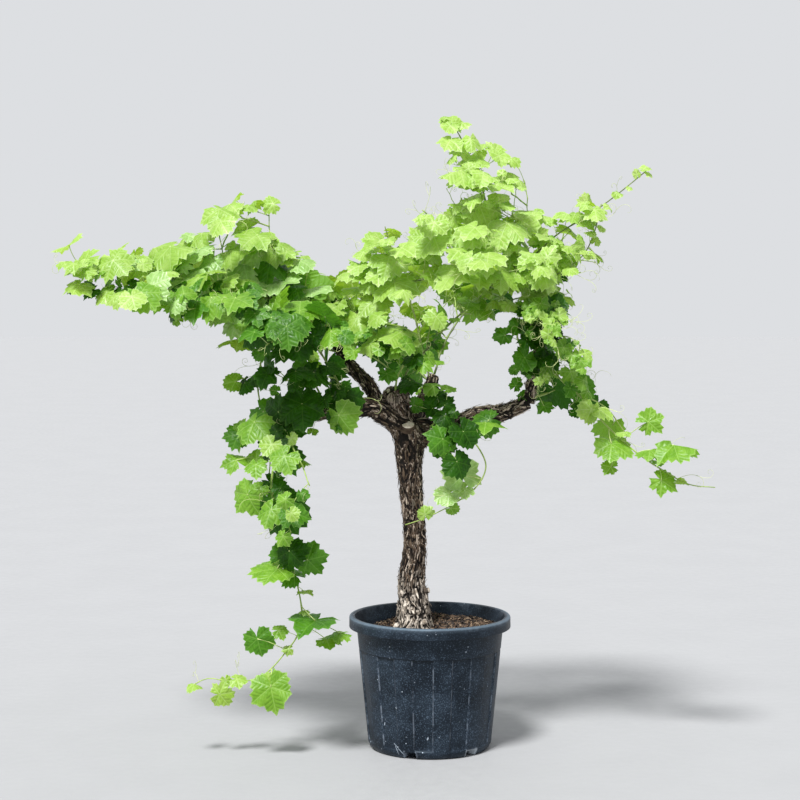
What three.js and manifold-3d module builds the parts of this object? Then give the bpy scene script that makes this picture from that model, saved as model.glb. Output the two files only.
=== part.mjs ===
// Potted standard grapevine: an old short trunk with gnarled arms in a round nursery pot,
// with long leafy canes that spread, rise and hang from the arms.
// Millimetres, +Z up, origin at the centre of the pot's flat underside, -Y towards the viewer.
import * as THREE from 'three';
import Module from 'manifold-3d';

const wasm = await Module();
wasm.setup();
const { Manifold, Mesh: SolidMesh } = wasm;

// Gap between wood, soil and pot where they touch
const CLEAR = 0.35;
// Gap kept round every leaf
const LEAF_CLEAR = 1.0;
const UP = new THREE.Vector3(0, 0, 1);
const DEGREE = Math.PI / 180;

// Pot
const POT_HEIGHT = 412;
const RIM_RADIUS = 251;
const RIM_FACE = 31;
const RIM_LIP = 16;
const WALL_TOP_RADIUS = 228;
const BASE_RADIUS = 190;
const WALL = 4;
const PANEL_TOP = 311;
const PANEL_FOOT = 24;
const PANEL_DEPTH = 4.5;
const RIBS = 11;
const RIB_ANGLE = 14.5;
const FIRST_RIB = 2.5;
const STEP_ANGLE = 1.2;
const FLOOR = 8;
// The floor's middle is sunk inside a ring this high, whose inner edge has these radii
const FOOT_RING = { height: 24, top: 152, foot: 148 };
// How far the base's edge is rounded off: inwards at the very foot, and at the round's own height
const BASE_ROUND = { inset: 12, height: 7, upper: 3 };
// How far the wall leans from rib to panel, and the rim's rounded top edge
const PANEL_STEP = 2;
const RIM_ROUND = { drop: 6, inset: 5, lip: 2, taper: 1, under: 4, above: 5 };
const NOTCHES = 6;
const NOTCH = { width: 37, height: 20, depth: 25, first: 40.6 };
const SOIL_TOP = 368;

// Trunk: height, sideways place, depth place and radius at each station
const TRUNK = [
  { z: 368.4, x: -47, y: 0, r: 60 },
  { z: 395, x: -48, y: 0, r: 51 },
  { z: 460, x: -52, y: 0, r: 46 },
  { z: 521, x: -58, y: 2, r: 41 },
  { z: 630, x: -47, y: 5, r: 34 },
  { z: 722, x: -50, y: 6, r: 33 },
  { z: 799, x: -57, y: 4, r: 35 },
  { z: 876, x: -63, y: 2, r: 38 },
  { z: 923, x: -65, y: 0, r: 43 },
  { z: 954, x: -61, y: 0, r: 52 },
  { z: 980, x: -61, y: 0, r: 60 },
  { z: 1003, x: -64, y: 2, r: 52 },
  { z: 1014, x: -66, y: 2, r: 30 },
];
const TRUNK_SIDES = 14;
// Flutes run up the trunk with this much height for each radian that they turn
const FLUTES = { count: 5, foot: 0.16, shaft: 0.06, pitch: 70 };
const FLARE_HEIGHT = 90;

// Arms of old wood: waypoints with a radius each
const LIMB_SIDES = 10;
const LIMB_STEPS = 2;
// Lumps of an arm: three round it that turn slowly, and swellings along it, in shares of its radius
const LUMPS = { round: 0.07, turn: 9, along: 0.05, swellings: 26 };
const LIMBS = {
  left_arm: {
    path: [[-77, -5, 994], [-139, -25, 1036], [-185, -42, 1062], [-260, -68, 1058], [-318, -88, 1048],
      [-360, -100, 1040]],
    radii: [38, 34, 31, 26, 22, 18],
  },
  head_stub: {
    path: [[-83, 0, 1003], [-96, 2, 1062], [-105, 6, 1108]],
    radii: [33, 31, 37],
  },
  upper_left_arm: {
    path: [[-160, -30, 1064], [-188, -10, 1127], [-238, 18, 1175], [-270, 40, 1223],
      [-293, 56, 1254]],
    radii: [24, 22, 20, 19, 17],
  },
  right_arm: {
    path: [[-43, 0, 980], [47, 10, 990], [99, 22, 1007], [156, 32, 1034], [234, 45, 1039],
      [306, 55, 1070]],
    radii: [40, 33, 33, 27, 25, 22],
  },
  right_spur: {
    path: [[306, 55, 1067], [319, 60, 1141], [335, 65, 1216], [330, 69, 1262]],
    radii: [20, 16, 14, 12],
  },
  back_arm: {
    path: [[-55, 15, 994], [-30, 90, 1039], [-4, 170, 1089], [12, 230, 1136]],
    radii: [36, 29, 24, 19],
  },
};

// Canes: each mass of foliage grows from one main cane. Its first waypoint lies inside the wood that
// carries it. radius is the cane's, reach the blade's length from its stalk, and spacing the way
// between leaves, each at the cane's root and tip. hang is 0 for level leaves and 1 for leaves that
// hang upright, and lift is added to it for the leaves alone. facing is the side of the plant that the
// leaves turn to, -1 for the front and 1 for the back. A side twig grows at every leaf that twigEvery
// divides, up to the share twigsUntil of the cane, and leafy is the share that bears leaves by the rule.
// Shoots are further canes that rise from the first. seed starts the mass's own stream of random numbers.
const MASSES = {
  front_hanging: {
    path: [[96, 20, 1003], [110, -30, 975], [146, -60, 941], [170, -70, 881], [139, -75, 818],
      [69, -75, 766], [-16, -70, 723], [-77, -65, 701]],
    radius: [4.5, 2.2], reach: [60, 24], spacing: [72, 90], hang: 0.9, lift: -0.12,
    seed: 7415, facing: -1, twigEvery: 9, leafy: 0,
  },
  left_arm_leaves: {
    path: [[-203, -46, 1059], [-226, -105, 1108], [-262, -140, 1112], [-292, -152, 1060]],
    radius: [5, 3], reach: [64, 48], spacing: [44, 40], hang: 0.75, lift: 0.1,
    seed: 5483, facing: -1, twigEvery: 3,
  },
  centre_leaves: {
    path: [[-111, 0, 1083], [-102, -50, 1148], [-68, -90, 1224], [-32, -120, 1298], [10, -140, 1371]],
    radius: [5.5, 3], reach: [72, 50], spacing: [46, 42], hang: 0.6, lift: -0.05,
    seed: 8174, facing: -1, twigEvery: 2,
  },
  head_leaves: {
    path: [[-19, 0, 972], [30, -55, 1030], [55, -85, 1032], [62, -100, 985], [45, -105, 930]],
    radius: [5, 3], reach: [58, 44], spacing: [42, 36], hang: 0.85, lift: 0,
    seed: 4867, facing: -1, twigEvery: 3,
  },
  left_upper: {
    path: [[-289, 54, 1246], [-348, 60, 1328], [-404, 60, 1375], [-522, 45, 1397], [-629, 30, 1419],
      [-742, 10, 1447], [-863, -10, 1463], [-983, -30, 1485], [-1085, -40, 1500]],
    radius: [6, 3], reach: [74, 44], spacing: [58, 46], hang: 0.35, lift: -0.12,
    seed: 1629, facing: -1, twigEvery: 3,
    shoots: [
      [[-522, 45, 1397], [-500, 50, 1525], [-497, 45, 1633], [-506, 45, 1705]],
      [[-629, 30, 1419], [-638, 20, 1522], [-655, 10, 1627], [-661, 5, 1700]],
      [[-806, 0, 1456], [-814, -5, 1515], [-814, -10, 1570]],
      [[-404, 60, 1375], [-384, 50, 1450], [-374, 40, 1515]],
    ],
  },
  left_lower: {
    path: [[-279, 47, 1225], [-346, 0, 1247], [-429, -50, 1289], [-518, -85, 1312], [-601, -110, 1343],
      [-814, -130, 1380], [-907, -135, 1404], [-1041, -145, 1420]],
    radius: [6, 3], reach: [76, 50], spacing: [56, 50], hang: 0.6, lift: 0,
    seed: 3120, facing: -1, twigEvery: 3,
  },
  left_back: {
    path: [[-287, 52, 1240], [-329, 130, 1304], [-412, 210, 1342], [-537, 260, 1363], [-693, 300, 1384],
      [-856, 310, 1410]],
    radius: [6, 3], reach: [76, 48], spacing: [58, 50], hang: 0.45, lift: 0,
    seed: 2829, facing: 1, twigEvery: 3,
  },
  left_front: {
    path: [[-245, -64, 1058], [-274, -120, 1132], [-325, -190, 1226], [-388, -250, 1304],
      [-467, -300, 1341], [-558, -330, 1342]],
    radius: [6, 3], reach: [82, 52], spacing: [58, 50], hang: 0.6, lift: -0.12,
    seed: 4297, facing: -1, twigEvery: 3,
  },
  hanging_left: {
    path: [[-342, -94, 1042], [-395, -120, 1056], [-445, -145, 998], [-480, -165, 838], [-448, -165, 691],
      [-398, -150, 500], [-397, -140, 392], [-442, -135, 319], [-509, -130, 249], [-594, -125, 226],
      [-676, -120, 237], [-731, -115, 212]],
    radius: [5.5, 2.5], reach: [68, 40], spacing: [42, 96], hang: 0.85, lift: -0.05,
    seed: 5319, facing: -1, twigEvery: 4, leafy: 0.42, twigsUntil: 0.4,
  },
  hanging_left_inner: {
    path: [[-312, -84, 1052], [-356, -50, 1136], [-431, -20, 1217], [-505, -10, 1232], [-529, -20, 1140],
      [-516, -30, 1033], [-491, -40, 927], [-497, -45, 836]],
    radius: [5.5, 3], reach: [72, 42], spacing: [56, 50], hang: 0.75, lift: -0.12,
    seed: 9996, facing: -1, twigEvery: 4,
  },
  centre: {
    path: [[-99, 5, 1089], [-71, 20, 1168], [-15, 30, 1230], [38, 38, 1292], [125, 42, 1372],
      [218, 42, 1453], [311, 40, 1518], [392, 35, 1590], [481, 30, 1646], [564, 25, 1704], [675, 15, 1794]],
    radius: [6, 2.5], reach: [74, 14], spacing: [56, 40], hang: 0.35, lift: -0.3,
    seed: 7016, facing: -1, twigEvery: 3,
  },
  mid_right: {
    path: [[-259, 33, 1208], [-262, -10, 1278], [-231, -40, 1344], [-166, -60, 1399], [-47, -75, 1448],
      [91, -80, 1458], [223, -60, 1436], [366, -30, 1460], [458, -10, 1515], [499, -5, 1583],
      [524, -5, 1683]],
    radius: [6, 2.5], reach: [70, 22], spacing: [58, 46], hang: 0.35, lift: -0.12,
    seed: 7720, facing: -1, twigEvery: 3,
    shoots: [
      [[-166, -60, 1399], [-152, -60, 1480], [-142, -55, 1560], [-142, -50, 1625]],
      [[91, -80, 1458], [62, -70, 1550], [70, -60, 1640], [95, -50, 1700]],
    ],
  },
  top_shoot: {
    path: [[330, 69, 1250], [314, 76, 1321], [286, 80, 1415], [258, 80, 1503], [220, 74, 1596],
      [182, 68, 1671], [157, 62, 1743], [119, 56, 1827], [94, 50, 1889], [62, 45, 1940]],
    radius: [6, 2.5], reach: [76, 24], spacing: [52, 34], hang: 0.35, lift: -0.2,
    seed: 2771, facing: -1, twigEvery: 2,
    shoots: [
      [[258, 80, 1503], [292, 75, 1600], [302, 65, 1690], [290, 60, 1765]],
    ],
  },
  right_up: {
    path: [[333, 66, 1222], [352, 95, 1289], [368, 115, 1367], [388, 120, 1452], [408, 120, 1540],
      [422, 115, 1605]],
    radius: [5.5, 3], reach: [70, 34], spacing: [52, 42], hang: 0.4, lift: -0.12,
    seed: 5833, facing: -1, twigEvery: 2,
  },
  right_inner: {
    path: [[317, 59, 1129], [300, 10, 1200], [268, -20, 1280], [305, -40, 1350], [368, -45, 1330],
      [420, -50, 1255]],
    radius: [5, 3], reach: [46, 32], spacing: [34, 30], hang: 0.8, lift: -0.12,
    seed: 7690, facing: -1, twigEvery: 2,
  },
  hanging_right: {
    path: [[331, 64, 1197], [360, 20, 1187], [407, -10, 1140], [473, -20, 1082], [543, -30, 1003],
      [631, -40, 924], [715, -50, 867], [794, -55, 825], [873, -60, 816]],
    radius: [5.5, 2.5], reach: [58, 36], spacing: [50, 58], hang: 0.8, lift: 0.1,
    seed: 3149, facing: -1, twigEvery: 3, leafy: 0.36, twigsUntil: 0.3,
  },
  right_back: {
    path: [[296, 54, 1066], [364, 120, 1093], [465, 190, 1088], [565, 230, 1043], [631, 245, 961]],
    radius: [5, 3], reach: [62, 44], spacing: [52, 46], hang: 0.7, lift: 0,
    seed: 689, facing: 1, twigEvery: 3,
  },
  back_left: {
    path: [[8, 212, 1120], [-93, 300, 1209], [-256, 360, 1295], [-422, 390, 1359], [-587, 400, 1375]],
    radius: [6, 3], reach: [74, 50], spacing: [58, 50], hang: 0.5, lift: 0.1,
    seed: 4933, facing: 1, twigEvery: 2,
  },
  back_up: {
    path: [[6, 206, 1116], [-22, 236, 1234], [-54, 250, 1363], [-93, 245, 1460], [-118, 235, 1540],
      [-141, 225, 1620]],
    radius: [6, 3], reach: [70, 32], spacing: [54, 44], hang: 0.4, lift: -0.2,
    seed: 7217, facing: 1, twigEvery: 2,
  },
  back_right: {
    path: [[12, 226, 1133], [53, 300, 1248], [136, 345, 1360], [269, 375, 1425], [401, 385, 1458],
      [499, 375, 1475]],
    radius: [6, 3], reach: [74, 48], spacing: [58, 50], hang: 0.5, lift: -0.05,
    seed: 8607, facing: 1, twigEvery: 2,
  },
};

// Leaves that stand out one by one: sideways place and height of the blade's foot, the midrib's way in
// degrees up from the right, reach, and how many degrees the face is turned up from the front
const STANDING_OUT = {
  hanging_left: [
    [-450, 618, 54, 49, 12], [-370, 610, 14, 64, 4], [-411, 562, 124, 45, 53], [-462, 585, 157, 82, 68],
    [-348, 425, 256, 89, 81], [-525, 365, 284, 57, 5], [-485, 219, 282, 77, 17], [-642, 192, 6, 47, 0],
    [-315, 363, 350, 52, 78], [-399, 916, 310, 40, 68], [-273, 383, 210, 52, 78],
  ],
  hanging_right: [
    [668, 1017, 23, 56, 15], [743, 948, 322, 82, 82], [707, 838, 329, 57, 27], [555, 951, 316, 74, 55],
    [519, 1055, 266, 55, 70], [673, 931, 190, 52, 78],
  ],
  front_hanging: [
    [41, 944, 287, 49, 11], [-35, 1003, 56, 39, 48], [7, 1055, 176, 40, 22], [97, 857, 100, 74, 17],
    [103, 816, 218, 44, 42], [46, 796, 190, 72, 59], [170, 1016, 299, 71, 82], [180, 1023, 193, 53, 26],
  ],
  right_inner: [
    [228, 1282, 190, 40, 8], [464, 1203, 230, 40, 68], [355, 1059, 0, 40, 50],
  ],
  centre: [
    [445, 1653, 260, 52, 68],
  ],
  mid_right: [
    [70, 1641, 230, 40, 8], [-263, 1194, 0, 40, 30],
  ],
  hanging_left_inner: [
    [-595, 899, 110, 52, 50], [-599, 1139, 180, 40, 30], [-588, 978, 180, 52, 30],
  ],
  left_lower: [
    [-584, 1273, 230, 66, 78],
  ],
  left_upper: [
    [-485, 1685, 160, 40, 30],
  ],
  top_shoot: [
    [64, 1932, 84, 46, 40], [251, 1827, 210, 40, 68],
  ],
};

// Open air and bare wood seen round and through the crown, where no leaf lies: sideways place, height and
// radius of discs in the plane of the trunk, looked at from EYE
const EYE = [-92.8, -5886, 1462];
const OPENINGS = [
  [-85, 1970, 88], [210, 1970, 88], [335, 1910, 88], [-70, 1835, 88], [520, 1820, 88], [-505, 1810, 88],
  [-640, 1800, 88], [395, 1760, 88], [-390, 1745, 88], [-770, 1745, 88], [-140, 1720, 88], [-5, 1715, 58],
  [710, 1665, 88], [-875, 1655, 88], [-260, 1645, 88], [-1005, 1620, 82], [-375, 1575, 37], [630, 1550, 88],
  [-300, 1515, 50], [570, 1430, 88], [500, 1305, 59], [-1005, 1275, 88], [-875, 1240, 88], [-745, 1200, 88],
  [605, 1200, 88], [135, 1155, 88], [765, 1140, 88], [-730, 1065, 88], [605, 1065, 39], [-595, 1060, 39],
  [800, 1010, 59], [-740, 930, 88], [265, 835, 88], [-720, 795, 88], [220, 705, 88], [-665, 670, 88],
  [-530, 645, 41], [105, 635, 88], [-235, 830, 129], [-228, 670, 101], [-204, 478, 130], [123, 1256, 60],
  [102, 1306, 30], [-469, 1194, 26], [-602, 1247, 28], [-346, 1108, 22], [-386, 1200, 19], [-290, 1231, 25],
  [-259, 1176, 25], [-222, 1145, 22], [-182, 1111, 25], [-139, 1062, 28], [-93, 1083, 34], [-65, 991, 40],
  [-65, 907, 43], [123, 1040, 19], [185, 1043, 19], [247, 1071, 19], [287, 1102, 19], [-108, 1349, 26],
  [-62, 1318, 24], [108, 1725, 20], [278, 1694, 14], [-725, 1648, 22], [-555, 1657, 16], [-463, 1617, 20],
  [-663, 1565, 24], [432, 1293, 22], [478, 1472, 18], [438, 1571, 16], [-93, 1580, 14], [-555, 1194, 22],
  [-185, 1200, 20], [-571, 839, 24], [-410, 840, 20], [-549, 753, 14], [531, 1108, 24], [376, 1123, 14],
  [62, 1364, 16], [-401, 1225, 14], [53, 1271, 14], [-401, 948, 14],
];

// Share of the way from one leaf to the next where a stem has its ring
const RING_PAST_LEAF = 0.25;
// Share of a leaf's outward way that is the side its mass faces, the rest is away from the trunk
const FACING = 0.6;
// Leaves are drawn this much larger and wider apart than life
const LARGER = 1.3;
const APART = 1.24;
const SHOOT_TIP_RADIUS = 2.4;
// Side twigs of a cane: their size, the share of the cane's reach and spacing that their leaves have,
// and the last share of the cane where one starts. sag is how far the tip rises or hangs, in shares of
// the length, on a level mass and for each step of hang.
const TWIG = { shortest: 110, longest: 230, radius: [4, 3], reach: 0.8, spacing: 0.9, until: 0.8,
  sag: [0.2, -0.75] };
// Where the first leaf stands on a cane and on a twig, in shares of its spacing, the bare way left at the
// tip, and how far sizes and ways differ from leaf to leaf
const FIRST_LEAF = [1.1, 0.8];
const BARE_TIP = 6;
const SIZE_SPREAD = [0.5, 0.65];
const WAY_SPREAD = [0.85, 0.3];
// How much each way counts in the sum that gives a stalk, midrib, blade's face or twig its own way. Where
// there are two numbers, the second is added for each step of hang.
const STALK_WAYS = { wander: 0.5, across: 0.7, rise: [0.65, -0.3], out: [0.15, 0.55], along: 0.25 };
const MIDRIB_WAYS = { wander: 0.6, across: 0.75, out: 0.3, along: 0.1, up: [-0.15, -0.9] };
const FACE_WAYS = { wander: 0.6, up: [1, -0.85], out: [0.3, 0.7], stalk: 0.6 };
const TWIG_WAYS = { wander: 0.6, across: 0.8, rise: 0.35, out: 0.35, along: 0.35 };
// Share of its reach from a blade's stalk to its middle
const MIDDLE = 0.3;
// A blade's outline in shares of its reach: angle from the midrib in degrees, and distance
const LOBES = [[0, 1.0], [27, 0.7], [52, 0.95], [105, 0.74], [180, 0.14]];
// A blade's thickness in shares of its reach and at least, and how far its lobes droop
const BLADE = { thick: 0.028, least: 1.4, droop: 0.12, droopSpread: 0.2 };
// A stalk's length in shares of the blade's reach, its root in shares of the stem's radius, its tip's
// radius, the places of its three corners, and how far at least it stands up under the blade
const STALK = { shortest: 0.85, spread: 0.4, root: 0.42, tip: 1.7, steepest: 0.35,
  corners: [60, 180, 300] };
// Leaves nearer than this share of their summed reaches are crowded out
const CROWDING = 0.36;
// Places on a blade, along its midrib and across it in shares of its reach, that are held against OPENINGS
const BLADE_PLACES = [[0, 0], [0.85, 0], [0.1, 0.75], [0.1, -0.75], [0.45, 0.4], [0.45, -0.4], [0.45, 0],
  [-0.2, 0.4], [-0.2, -0.4]];
// A leaf that stands out: shares of its reach that its stalk's root lies back along the cane and that its
// foot stands forward of it, how far its midrib leans forward, the rise of its stalk for each step to the
// side, and the steps in which the cane is searched
const STANDING = { back: 0.4, forward: 0.35, lean: -0.25, steepness: 0.42, search: 4 };
// Longest way between two rings of a stem
const STEM_STEP = 90;
// A leaf that touches something is tried again at these shares of its size
const SHRINKS = [1, 0.8, 0.6];
const SLIVER = 0.01;

const colours = {
  pot: new THREE.MeshStandardMaterial({ color: 0x2b3340, roughness: 0.6, metalness: 0 }),
  soil: new THREE.MeshStandardMaterial({ color: 0x6b4a30, roughness: 0.95, metalness: 0 }),
  bark: new THREE.MeshStandardMaterial({ color: 0x6e5c4b, roughness: 0.9, metalness: 0 }),
  leaf: new THREE.MeshStandardMaterial({ color: 0x7fb52e, roughness: 0.55, metalness: 0 }),
};

const vector = ([x, y, z]) => new THREE.Vector3(x, y, z);
const mix = (a, b, share) => a + (b - a) * share;
const hung = ([level, more], hang) => level + more * hang;

// A repeatable stream of numbers from 0 to 1
function makeRandom(seed) {
  let state = seed;
  return () => {
    state = (state * 1664525 + 1013904223) % 4294967296;
    return state / 4294967296;
  };
}

function toSolid(geometry) {
  return new Manifold(new SolidMesh({
    numProp: 3,
    vertProperties: new Float32Array(geometry.getAttribute('position').array),
    triVerts: new Uint32Array(geometry.getIndex().array),
  }));
}

function toGeometry(solid) {
  const mesh = solid.getMesh();
  const geometry = new THREE.BufferGeometry();
  geometry.setAttribute('position', new THREE.BufferAttribute(new Float32Array(mesh.vertProperties), 3));
  geometry.setIndex(new THREE.BufferAttribute(new Uint32Array(mesh.triVerts), 1));
  geometry.computeVertexNormals();
  return geometry;
}

function indexedGeometry(points, triangles) {
  const geometry = new THREE.BufferGeometry();
  const values = points.flatMap((point) => point.toArray());
  geometry.setAttribute('position', new THREE.Float32BufferAttribute(values, 3));
  geometry.setIndex(triangles);
  return geometry;
}

// Joins rings of points, counter-clockwise about their way, into a closed skin with a fan at each end
function loft(rings) {
  const sides = rings[0].length;
  const points = rings.flat();
  const triangles = [];
  for (let row = 0; row < rings.length - 1; row += 1) {
    for (let side = 0; side < sides; side += 1) {
      const next = (side + 1) % sides;
      const a = row * sides + side;
      const b = row * sides + next;
      triangles.push(a, b, b + sides, a, b + sides, a + sides);
    }
  }
  const ends = [rings[0], rings[rings.length - 1]];
  ends.forEach((ring, end) => {
    const start = end === 0 ? 0 : (rings.length - 1) * sides;
    if (sides === 3) {
      triangles.push(...(end === 0 ? [start, start + 2, start + 1] : [start, start + 1, start + 2]));
      return;
    }
    const centre = points.length;
    points.push(ring.reduce((sum, p) => sum.add(p), new THREE.Vector3()).divideScalar(sides));
    for (let side = 0; side < sides; side += 1) {
      const a = start + side;
      const b = start + (side + 1) % sides;
      triangles.push(...(end === 0 ? [centre, b, a] : [centre, a, b]));
    }
  });
  return indexedGeometry(points, triangles);
}

// Rings round a line of points, each turned as little as possible from the one before
function ringsAlong(points, sides, radiusAt) {
  let across = null;
  return points.map((point, row) => {
    const before = points[Math.max(row - 1, 0)];
    const after = points[Math.min(row + 1, points.length - 1)];
    const way = after.clone().sub(before).normalize();
    if (!across) across = Math.abs(way.z) > 0.9 ? new THREE.Vector3(1, 0, 0) : UP.clone();
    across = across.clone().addScaledVector(way, -across.dot(way)).normalize();
    const third = way.clone().cross(across);
    return Array.from({ length: sides }, (_, side) => {
      const angle = (side / sides) * Math.PI * 2;
      const radius = radiusAt(row / (points.length - 1), angle);
      return point.clone()
        .addScaledVector(across, Math.cos(angle) * radius)
        .addScaledVector(third, Math.sin(angle) * radius);
    });
  });
}

// A smooth curve through waypoints, walked by distance
class Route {
  constructor(waypoints, samples = 12) {
    const curve = new THREE.CatmullRomCurve3(waypoints.map(vector), false, 'catmullrom', 0.5);
    this.points = curve.getPoints((waypoints.length - 1) * samples);
    this.distances = [0];
    this.points.slice(1).forEach((point, i) => {
      this.distances.push(this.distances[i] + point.distanceTo(this.points[i]));
    });
    this.length = this.distances[this.distances.length - 1];
  }

  at(distance) {
    const last = this.points.length - 2;
    const found = this.distances.findIndex((d) => d > distance) - 1;
    const i = found < 0 ? last : found;
    const share = (distance - this.distances[i]) / (this.distances[i + 1] - this.distances[i]);
    return {
      place: this.points[i].clone().lerp(this.points[i + 1], share),
      along: this.points[i + 1].clone().sub(this.points[i]).normalize(),
    };
  }
}

// Pot and soil: a profile of [radius, height, whether it has ribs] turned through the ribs' angles
function ribAngles() {
  const period = 360 / RIBS;
  return Array.from({ length: RIBS }, (_, rib) => {
    const start = FIRST_RIB + rib * period;
    return [
      { angle: start, panel: false },
      { angle: start + RIB_ANGLE, panel: false },
      { angle: start + RIB_ANGLE + STEP_ANGLE, panel: true },
      { angle: start + period - STEP_ANGLE, panel: true },
    ];
  }).flat();
}

function turned(profile) {
  const columns = ribAngles();
  const count = columns.length;
  const points = [];
  const rows = profile.map(([radius, height, ribbed]) => {
    const start = points.length;
    if (radius === 0) {
      points.push(new THREE.Vector3(0, 0, height));
      return { start, pole: true };
    }
    columns.forEach(({ angle, panel }) => {
      const r = radius - (ribbed && panel ? PANEL_DEPTH : 0);
      points.push(new THREE.Vector3(Math.sin(angle * DEGREE) * r, -Math.cos(angle * DEGREE) * r, height));
    });
    return { start, pole: false };
  });
  const triangles = [];
  for (let row = 0; row < rows.length - 1; row += 1) {
    const [low, high] = [rows[row], rows[row + 1]];
    for (let column = 0; column < count; column += 1) {
      const next = (column + 1) % count;
      if (low.pole) triangles.push(low.start, high.start + next, high.start + column);
      else if (high.pole) triangles.push(low.start + column, low.start + next, high.start);
      else {
        triangles.push(low.start + column, low.start + next, high.start + next);
        triangles.push(low.start + column, high.start + next, high.start + column);
      }
    }
  }
  return indexedGeometry(points, triangles);
}

// Radius of the outer wall at a height, a straight taper from base to rim
const wallRadius = (height) => mix(BASE_RADIUS, WALL_TOP_RADIUS, height / (POT_HEIGHT - RIM_FACE));
const innerRadius = (height) => wallRadius(height) - PANEL_DEPTH - WALL;

function potGeometry() {
  const rimFoot = POT_HEIGHT - RIM_ROUND.above - RIM_FACE;
  const [panelFoot, panelTop] = [PANEL_FOOT + PANEL_STEP, PANEL_TOP - PANEL_STEP];
  const profile = [
    [0, 0], [BASE_RADIUS - BASE_ROUND.inset, 0], [BASE_RADIUS - BASE_ROUND.upper, BASE_ROUND.height],
    [wallRadius(PANEL_FOOT), PANEL_FOOT], [wallRadius(panelFoot), panelFoot, true],
    [wallRadius(panelTop), panelTop, true], [wallRadius(PANEL_TOP), PANEL_TOP],
    [wallRadius(rimFoot), rimFoot], [RIM_RADIUS, rimFoot],
    [RIM_RADIUS - RIM_ROUND.taper, POT_HEIGHT - RIM_ROUND.drop], [RIM_RADIUS - RIM_ROUND.inset, POT_HEIGHT],
    [RIM_RADIUS - RIM_LIP, POT_HEIGHT - RIM_ROUND.lip], [innerRadius(rimFoot), rimFoot - RIM_ROUND.under],
    [innerRadius(FOOT_RING.height), FOOT_RING.height], [FOOT_RING.top, FOOT_RING.height],
    [FOOT_RING.foot, FLOOR], [0, FLOOR],
  ];
  const body = toSolid(turned(profile));
  const notches = Array.from({ length: NOTCHES }, (_, i) => {
    const angle = (NOTCH.first + (i * 360) / NOTCHES) * DEGREE;
    const box = new THREE.BoxGeometry(NOTCH.width, NOTCH.depth * 2, NOTCH.height * 2);
    box.rotateZ(angle);
    box.translate(Math.sin(angle) * BASE_RADIUS, -Math.cos(angle) * BASE_RADIUS, 0);
    return toSolid(welded(box));
  });
  return toGeometry(body.subtract(Manifold.union(notches)));
}

// The same box with its corners shared
function welded(geometry) {
  const position = geometry.getAttribute('position');
  const points = [];
  const places = new Map();
  const shared = Array.from({ length: position.count }, (_, i) => {
    const point = new THREE.Vector3().fromBufferAttribute(position, i);
    const key = point.toArray().map((value) => value.toFixed(3)).join();
    if (!places.has(key)) {
      places.set(key, points.length);
      points.push(point);
    }
    return places.get(key);
  });
  return indexedGeometry(points, Array.from(geometry.getIndex().array, (i) => shared[i]));
}

function soilGeometry() {
  const bottom = FLOOR + CLEAR;
  const ledge = FOOT_RING.height + CLEAR;
  return turned([
    [0, bottom], [FOOT_RING.foot - CLEAR, bottom], [FOOT_RING.top - CLEAR, ledge],
    [innerRadius(FOOT_RING.height) - 2 * CLEAR, ledge], [innerRadius(SOIL_TOP) - 2 * CLEAR, SOIL_TOP],
    [0, SOIL_TOP],
  ]);
}

// Trunk: an upright taper with flutes that grow into root buttresses at the foot
function trunkGeometry(grow) {
  const rings = TRUNK.map(({ z, x, y, r }) => Array.from({ length: TRUNK_SIDES }, (_, side) => {
    const angle = (side / TRUNK_SIDES) * Math.PI * 2;
    const foot = Math.max(0, 1 - (z - TRUNK[0].z) / FLARE_HEIGHT);
    const depth = mix(FLUTES.shaft, FLUTES.foot, foot);
    const radius = r * (1 + depth * Math.sin(FLUTES.count * angle + z / FLUTES.pitch)) + grow;
    return new THREE.Vector3(x + Math.cos(angle) * radius, y + Math.sin(angle) * radius, z);
  }));
  return loft(rings);
}

// Arm: a tapering tube with lumps
function limbGeometry({ path, radii }, grow) {
  const curve = new THREE.CatmullRomCurve3(path.map(vector), false, 'catmullrom', 0.5);
  const count = (path.length - 1) * LIMB_STEPS;
  const points = curve.getPoints(count);
  const last = points[count];
  const ahead = last.clone().sub(points[count - 1]).normalize();
  last.addScaledVector(ahead, grow);
  const rings = ringsAlong(points, LIMB_SIDES, (share, angle) => {
    const place = share * (radii.length - 1);
    const i = Math.min(Math.floor(place), radii.length - 2);
    const lump = LUMPS.round * Math.sin(3 * angle + share * LUMPS.turn)
      + LUMPS.along * Math.sin(share * LUMPS.swellings);
    return mix(radii[i], radii[i + 1], place - i) * (1 + lump) + grow;
  });
  return loft(rings);
}

// Growth rule. A leaf stands off its cane on a stalk, turned to the side, towards the side of the
// plant that its mass faces and away from the trunk, and down by the mass's hang.
function crossWays(mass, place, along) {
  const away = new THREE.Vector3(place.x - TRUNK[0].x, place.y, 0).normalize();
  const out = new THREE.Vector3(0, mass.facing, 0).addScaledVector(away, 1 - FACING).normalize();
  const steep = Math.abs(along.z);
  const rise = UP.clone().multiplyScalar(1 - steep).addScaledVector(out, steep).normalize();
  const across = along.clone().cross(rise).normalize();
  return { out, rise, across };
}

function wander(random) {
  return new THREE.Vector3(random() - 0.5, random() - 0.5, random() - 0.5);
}

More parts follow.
